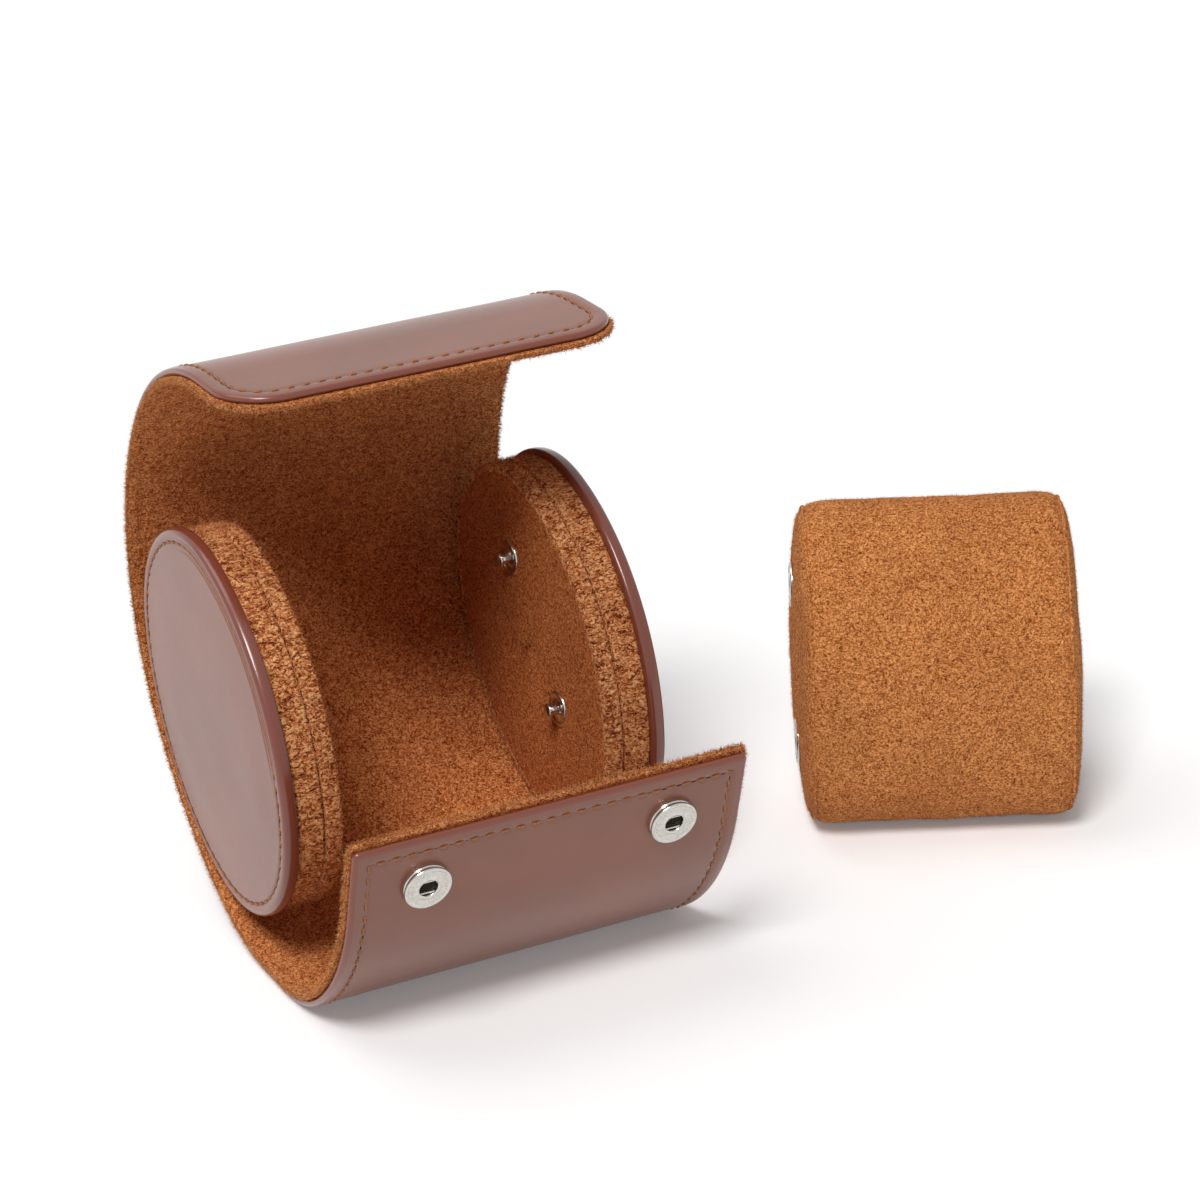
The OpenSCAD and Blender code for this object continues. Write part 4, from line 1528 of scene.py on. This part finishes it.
@dataclass
class Cushion(Assembly):
    """The lift-out cushion: a stuffed suede body, a welt round each end and loose nap."""

    length: float = 63.6
    height: float = 77.0
    width: float = 50.0
    end_radius: float = 20.0
    lean: float = 24.0
    turn: float = -26.1
    place: tuple[float, float] = (173.5, 55.8)
    press: float = 0.6
    gap: float = 36.8
    welt: float = 0.42
    welt_inset: float = 1.1
    end_round: float = 3.4
    end_crown: float = 1.1
    end_reach: float = 8.0
    dimple: float = 6.6
    shrink: float = 0.4
    voxel: float = 2.6
    cap: float = 1.5
    frames: int = 20
    fibres: int = 26000
    fuzz: Fuzz = Fuzz((0.3, 0.9), 0.06)

    @cached_property
    def seat(self) -> Seat:
        """Frame of the cushion: across runs along its axis from its left end, out runs up."""
        lean, turn = math.radians(self.lean), math.radians(self.turn)
        axes = np.array(Matrix.Rotation(turn, 3, "Z") @ Matrix.Rotation(-lean, 3, "X")).T
        z = (self.height / 2 - self.end_radius) * math.cos(lean) + self.end_radius - self.press
        middle = np.array([self.place[0] + self.path.shift[0], self.place[1] + self.path.shift[1], z])
        return Seat(middle - axes[0] * self.length / 2, *axes)

    @cached_property
    def oval(self) -> Oval:
        """Section of the body."""
        return Oval(self.width, self.height, self.end_radius)

    def snap_seats(self) -> list[Seat]:
        """Frames of the two sockets on the left end, pointing out of it.

        Returns:
            The lower and the upper frame.
        """
        seat = self.seat
        return [facing(seat.put([0.0, 0.0, sign * self.gap / 2]), seat.out, -seat.across)
                for sign in (-1, 1)]

    def build(self) -> None:
        """Makes body, welts and fibres."""
        body = self.body()
        self.welts(vectors(body.data) / MM)
        self.nap(body)

    def drum(self) -> Shape:
        """The unstuffed body, a little smaller than the finished one.

        Formula: the oval swept along the axis; at both ends its inset follows a quarter circle,
        then closes in over the flat end.

        Returns:
            The shape.
        """
        count, m, r = 160, self.shrink, self.end_round
        turn = np.radians(np.linspace(0, 90, 7))
        near = [(m + r + step, m) for step in (12.0, 6.0, 3.0)]
        near += [(m + r * (1 - math.sin(a)), m + r * (1 - math.cos(a))) for a in turn]
        rows = near + [(m, x) for x in np.linspace(m + r, self.length - m - r, 22)[1:-1]]
        rows += [(inset, self.length - x) for inset, x in reversed(near)]
        points = np.stack([np.column_stack([np.full(count, x), self.oval.ring(inset, count)])
                           for inset, x in rows])
        i = np.arange(count)
        faces = [ring_faces(len(rows), count), i[::-1][None, :], (i + (len(rows) - 1) * count)[None, :]]
        return Shape().add(self.seat.put(points.reshape(-1, 3)), faces, flip=True)

    def stuff(self, obj: bpy.types.Object) -> None:
        """Swells the body as filled cloth and keeps the result in its mesh.

        Args:
            obj: The remeshed body.
        """
        before = vectors(obj.data) / MM
        scene = bpy.context.scene
        cloth = obj.modifiers.new("cloth", "CLOTH")
        settings = {"quality": 6, "mass": 0.2, "tension_stiffness": 18.0, "compression_stiffness": 18.0,
                    "shear_stiffness": 8.0, "bending_stiffness": 2.0, "use_pressure": True,
                    "uniform_pressure_force": 4.0}
        for key, value in settings.items():
            setattr(cloth.settings, key, value)
        cloth.settings.effector_weights.gravity = 0.0
        cloth.collision_settings.use_collision = False
        cloth.point_cache.frame_start, cloth.point_cache.frame_end = 1, self.frames
        for at in range(1, self.frames + 1):
            scene.frame_set(at)
        shown = obj.evaluated_get(bpy.context.evaluated_depsgraph_get())
        move = vectors(shown.data) / MM - before
        obj.modifiers.remove(cloth)
        scene.frame_set(1)
        far = np.linalg.norm(move, axis=1, keepdims=True)
        set_points(obj, before + move * np.minimum(1.0, self.cap / np.maximum(far, 1e-9)))

    def apply(self, obj: bpy.types.Object) -> None:
        """Replaces the object's mesh with what its modifiers make of it.

        Args:
            obj: The object.
        """
        shown = obj.evaluated_get(bpy.context.evaluated_depsgraph_get())
        mesh = bpy.data.meshes.new_from_object(shown)
        mesh.name = obj.name
        obj.modifiers.clear()
        obj.data = mesh
        if not mesh.materials:
            mesh.materials.append(self.finishes["suede_cushion"])

    def body(self) -> bpy.types.Object:
        """The stuffed body with its nap, pressed flat where it stands.

        Returns:
            The body.
        """
        obj = self.drum().build("cushion_body", self.finishes["suede_cushion"])
        remesh = obj.modifiers.new("even", "REMESH")
        remesh.mode, remesh.voxel_size = "VOXEL", self.voxel * MM
        self.apply(obj)
        self.stuff(obj)
        smoothing = obj.modifiers.new("soft", "SMOOTH")
        smoothing.iterations, smoothing.factor = 2, 0.4
        fine = obj.modifiers.new("fine", "SUBSURF")
        fine.levels = fine.render_levels = 2
        self.apply(obj)
        points = vectors(obj.data) / MM
        x, _, z = self.seat.local(points).T
        wave = 0.22 * ripple(x, z, 24.0, 2.2) + 0.07 * scatter(x, z)
        points = self.crown_ends(points + vectors(obj.data, "normal") * wave[:, None])
        low = points[:, 2] < 0.35
        points[:, 2] = np.where(low, np.maximum(points[:, 2], TABLE_GAP), points[:, 2])
        set_points(obj, points)
        obj.data.shade_smooth()
        self.keep(obj, "cushion", "suede",
                  "cushion_core", "cushion_sleeve", "cushion_left_disc", "cushion_right_disc")
        return obj

    def crown_ends(self, points: Array) -> Array:
        """Puffs both ends out, with a dimple round each socket.

        Formula: an end moves out by one minus the cube of the place's share of the way to the
        rim. Where a socket sits, the surface is drawn to the socket's foot by a steep bell.

        Args:
            points: The body's points in millimetres.

        Returns:
            The moved points.
        """
        local, near = self.seat.local(points), self.end_reach
        x, y, z = local.T
        share = ((np.abs(y) / (self.width / 2)) ** 2.6 + (np.abs(z) / (self.height / 2)) ** 2.6) ** (1 / 2.6)
        crown = self.end_crown * np.clip(1 - share ** 3, 0, 1)
        x = x - crown * smooth((near - x) / near) + crown * smooth((x - self.length + near) / near)
        off = np.hypot(y, np.abs(z) - self.gap / 2)
        held = np.exp(-((off / self.dimple) ** 8)) * (x < near)
        local[:, 0] = x * (1 - held) + 0.05 * held
        return self.seat.put(local)

    def welts(self, cloud: Array) -> None:
        """A thin sewn ridge where the sleeve meets each end.

        Formula: a tube along the oval at each end, drawn in to the nearest point of the body.

        Args:
            cloud: The body's points in millimetres.
        """
        shape, count, sides = Shape(), 300, 8
        middle = self.seat.put([self.length / 2, 0.0, 0.0])
        for x in (self.welt_inset, self.length - self.welt_inset):
            line = self.seat.put(np.column_stack([np.full(count, x), self.oval.ring(0.9, count)]))
            gaps = np.linalg.norm(cloud[None, ::2] - line[:, None], axis=2)
            line = 0.15 * line + 0.85 * cloud[::2][np.argmin(gaps, axis=1)]
            for _ in range(4):
                line = (np.roll(line, 1, 0) + np.roll(line, -1, 0) + 2 * line) / 4
            way = unit(np.roll(line, -1, 0) - np.roll(line, 1, 0))
            a = unit(np.cross(way, unit(line - middle)))
            tube = circles(line, a, np.cross(way, a), self.welt, sides)
            tube[..., 2] = np.maximum(tube[..., 2], TABLE_GAP)
            shape.add(tube, [ring_faces(count, sides, closed=True)])
        obj = shape.build("cushion_welts_cord", self.finishes["suede_cushion"])
        self.keep(obj, "cushion", "suede_welt", "cushion_welts")

    def nap(self, body: bpy.types.Object) -> None:
        """Loose fibres all over the body.

        Args:
            body: The finished body.
        """
        points = vectors(body.data) / MM
        draw = np.random.default_rng(3)
        pick = draw.choice(len(points), min(len(points), self.fibres), replace=False)
        pick = pick[points[pick, 2] > 1.0]
        shape = Shape().add(*self.fuzz.grow(points[pick], vectors(body.data, "normal")[pick], 5))
        self.keep(shape.build("cushion_nap", self.finishes["suede_cushion"]), "cushion", "suede")


# ---------- snaps ----------


def revolve(profile: Profile, count: int, relief: Lift | None = None) -> Form:
    """A turned solid.

    Formula: each profile point (radius, height) becomes a circle; relief adds height by
    radius, angle and height. Profiles start and end on the axis or join up as a loop.

    Args:
        profile: Radii and heights, anticlockwise when seen with the axis up on the left.
        count: Points in each circle.
        relief: Height to add.

    Returns:
        Points and face arrays.
    """
    p = np.array(profile, float)
    r, t = np.meshgrid(p[:, 0], turns(count), indexing="ij")
    z = np.repeat(p[:, 1:2], count, axis=1)
    if relief is not None:
        z = z + relief(r, t, z)
    index = np.arange(r.size).reshape(r.shape)
    poles = p[:, 0] < 1e-6
    index[poles] = index[poles, :1]
    if np.allclose(p[0], p[-1]):
        index[-1] = index[0]
    used, faces = weld(index.ravel()[ring_faces(len(p), count)])
    return np.stack([r * np.cos(t), r * np.sin(t), z], -1).reshape(-1, 3)[used], faces


@dataclass(frozen=True)
class SnapSocket:
    """Nickel snap socket: waisted ring with ribs, dots and a raised collar round its hole."""

    radius: float = 5.5
    height: float = 1.8
    hole: float = 2.15
    ribs: int = 36
    rib_height: float = 0.11
    dots: int = 14
    dot_height: float = 0.09
    dot_radius: float = 0.2
    count: int = 288

    def form(self) -> Form:
        """Points and faces of the ring, with z out of the leather.

        Formula: a turned profile with soft corners; ribs are raised cosine teeth between two
        radii, and dots are small domes on one circle.

        Returns:
            Points and face arrays.
        """
        R, H, h = self.radius, self.height, self.hole
        profile = [(h, 0.0), (R - 0.25, 0.0), (R - 0.22, 0.2), (R - 0.3, 0.38), (R - 0.48, 0.5),
                   (R - 0.5, 0.72), (R - 0.3, 0.86), (R - 0.08, 0.98), (R, 1.12), (R, H - 0.4),
                   (R - 0.06, H - 0.2), (R - 0.2, H - 0.05), (R - 0.4, H), (R - 0.6, H - 0.03),
                   (R - 0.74, H - 0.13)]
        profile += [(r, H - 0.2) for r in np.linspace(R - 0.85, h + 1.0, 18)]
        profile += [(h + 0.86, H - 0.16), (h + 0.72, H - 0.05), (h + 0.55, H), (h + 0.32, H - 0.01),
                    (h + 0.12, H - 0.08), (h + 0.02, H - 0.22), (h, H - 0.4), (h, 0.0)]

        def relief(r: Array, t: Array, z: Array) -> Array:
            """Height of ribs and dots on the face between rim and collar.

            Args:
                r: Radius.
                t: Angle.
                z: Height of the turned profile.

            Returns:
                Heights to add.
            """
            face = (np.abs(z - (H - 0.2)) < 0.02) & (r > h + 0.9)
            rib = self.rib_height * smooth((np.cos(self.ribs * t) - 0.1) / 0.5)
            rib = rib * smooth((r - (R - 1.75)) / 0.2) * smooth((R - 0.9 - r) / 0.15)
            step = 2 * math.pi / self.dots
            off = (np.mod(t + step / 2, step) - step / 2) * r
            share = (off ** 2 + (r - h - 1.25) ** 2) / self.dot_radius ** 2
            return (rib + self.dot_height * np.sqrt(np.clip(1 - share, 0, 1))) * face

        return revolve(profile, self.count, relief)


@dataclass(frozen=True)
class SnapStud:
    """Nickel snap stud: rimmed base, neck and bulb."""

    base: float = 4.3
    bulb: float = 1.85
    tall: float = 3.6
    count: int = 72

    def form(self) -> Form:
        """Points and faces of the stud, with z out of the suede.

        Formula: a turned profile from the axis under the base, out round its rolled rim, in
        over the dish, up the neck and round the bulb to the axis.

        Returns:
            Points and face arrays.
        """
        B, b, top = self.base, self.bulb, self.tall
        turn = np.radians(np.linspace(-55, 90, 12))[:-1]
        profile = [(0.0, -0.3), (B - 0.4, -0.3), (B - 0.1, -0.12), (B, 0.12), (B - 0.03, 0.36),
                   (B - 0.16, 0.6), (B - 0.38, 0.76), (B - 0.62, 0.8), (B - 0.86, 0.72), (B - 1.05, 0.56),
                   (B - 1.25, 0.5), (2.4, 0.52), (2.1, 0.66), (1.85, 0.9), (1.5, 1.06), (1.3, 1.2),
                   (1.25, 1.5), (1.22, 2.0)]
        profile += [(0.15 + (b - 0.15) * math.cos(a), top - 0.72 + 0.72 * math.sin(a)) for a in turn]
        return revolve([*profile, (0.0, top)], self.count)


@dataclass
class Snaps(Assembly):
    """All snap sockets and studs."""

    end: EndPiece
    cushion: Cushion
    edge: float = 17.3
    socket_reach: float = 13.0
    stud_reach: float = 11.5
    gap: float = 36.8
    stud_off: tuple[float, float] = (-5.6, 1.7)

    def build(self) -> None:
        """Makes every snap at the place where its CAD solid is."""
        path, end = self.path, self.end
        socket, stud = SnapSocket().form(), SnapStud().form()
        pair = (self.edge, path.width - self.edge)
        far = path.length - self.stud_reach
        middle = end.middle + np.array(self.stud_off)
        on_plug = [facing(path.world(path.width - end.depth, middle[0], middle[1] + sign * self.gap / 2),
                          np.array([0.0, 0.0, 1.0]), np.array([-1.0, 0.0, 0.0])) for sign in (-1, 1)]
        for name, form, seats, body, node in (
            ("flap_sockets", socket, [path.seat(self.socket_reach, 0.0, x) for x in pair],
             "front_flap", "front_flap_sockets"),
            ("cushion_sockets_ring", socket, self.cushion.snap_seats(), "cushion", "cushion_sockets"),
            ("flap_studs", stud, [path.seat(far, path.thickness, x, -1.0) for x in pair],
             "top_flap", "top_flap_studs"),
            ("plug_studs", stud, on_plug, "case", "right_plug_studs"),
        ):
            shape = Shape()
            for seat in seats:
                shape.add(seat.put(form[0]), form[1])
            self.keep(shape.build(name, self.finishes["bright_nickel"], crease=40.0), body, "nickel", node)


# ---------- setting ----------


@dataclass(frozen=True)
class Lamp:
    """A wide far lamp."""

    name: str
    strength: float
    angle: float
    source: tuple[float, float, float]

    def hang(self) -> None:
        """Makes the lamp, turned so that it shines from its source towards the origin."""
        data = bpy.data.lights.new(self.name, "SUN")
        data.energy, data.angle = self.strength, math.radians(self.angle)
        lamp = bpy.data.objects.new(self.name, data)
        back = unit(np.array(self.source))
        side = unit(np.cross([0.0, 1.0, 0.0], back))
        lamp.matrix_world = Matrix(np.column_stack([side, np.cross(back, side), back]).tolist()).to_4x4()
        bpy.context.scene.collection.objects.link(lamp)


@dataclass(frozen=True)
class Studio:
    """Floor, soft light and camera."""

    lamps: tuple[Lamp, ...] = (Lamp("soft_key", 2.15, 20.0, (-0.4, -0.4, 0.83)),
                               Lamp("top_fill", 0.7, 40.0, (-0.3, 0.3, 0.9)))
    sky: float = 0.26
    floor: float = 6.0
    lens: float = 126.0
    camera: tuple[float, float, float] = (-0.39953, -0.78096, 0.45061)
    right: tuple[float, float, float] = (0.8904, -0.4538, -0.0366)
    up: tuple[float, float, float] = (0.2129, 0.3440, 0.9147)
    back: tuple[float, float, float] = (-0.4023, -0.8222, 0.4029)

    def build(self) -> None:
        """Makes the setting."""
        self.lay_floor()
        self.light()
        self.aim_camera()
        bpy.context.scene.view_settings.view_transform = "Standard"

    def lay_floor(self) -> None:
        """A wide plain floor just under the object."""
        half = self.floor
        corners = [(-half, -half, 0), (half, -half, 0), (half, half, 0), (-half, half, 0)]
        mesh = bpy.data.meshes.new("floor")
        mesh.from_pydata(corners, [], [(0, 1, 2, 3)])
        mesh.materials.append(Table("pale_floor").make())
        floor = bpy.data.objects.new("floor", mesh)
        bpy.context.scene.collection.objects.link(floor)

    def light(self) -> None:
        """Soft lamps, and an even pale sky that is seen as white."""
        for lamp in self.lamps:
            lamp.hang()
        world = bpy.data.worlds.new("sky")
        bpy.context.scene.world = world
        g = Graph(world)
        g.node("OutputWorld", n0=g.term("Background", Strength=self.sky + g.seen() * (1 - self.sky)))

    def aim_camera(self) -> None:
        """The camera at the photograph's viewing angle."""
        data = bpy.data.cameras.new("view")
        data.lens, data.sensor_width = self.lens, 36.0
        data.clip_start, data.clip_end = 0.05, 20.0
        camera = bpy.data.objects.new("view", data)
        pose = Matrix(np.column_stack([self.right, self.up, self.back]).tolist()).to_4x4()
        pose.translation = self.camera
        camera.matrix_world = pose
        bpy.context.scene.collection.objects.link(camera)
        bpy.context.scene.camera = camera


def dress_nodes(finishes: Finishes) -> None:
    """Gives every CAD node that stays its finish.

    Args:
        finishes: Every material by its name.
    """
    by_ending = {"_board": "fibre_board", "_core": "open_foam", "_springs": "spring_wire",
                 "_eyelets": "plain_brass", "_backings": "plain_brass"}
    for name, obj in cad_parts.items():
        for ending, finish in by_ending.items():
            if name.endswith(ending):
                obj.data.materials.clear()
                obj.data.materials.append(finishes[finish])


def main() -> None:
    logging.basicConfig(level=logging.INFO, format="%(name)s %(message)s")
    Studio().build()
    finishes = {finish.name: finish.make() for finish in FINISHES}
    path = WrapPath()
    ends = [EndPiece(path, finishes, side) for side in Side]
    cushion = Cushion(path, finishes)
    for part in (Wrap(path, finishes), *ends, cushion, Snaps(path, finishes, ends[-1], cushion)):
        part.build()
        for obj in part.made:
            LOG.info("%s: %s, %d faces", type(part).__name__, obj.name, len(obj.data.polygons))
    dress_nodes(finishes)


if __name__ == "__main__":
    main()
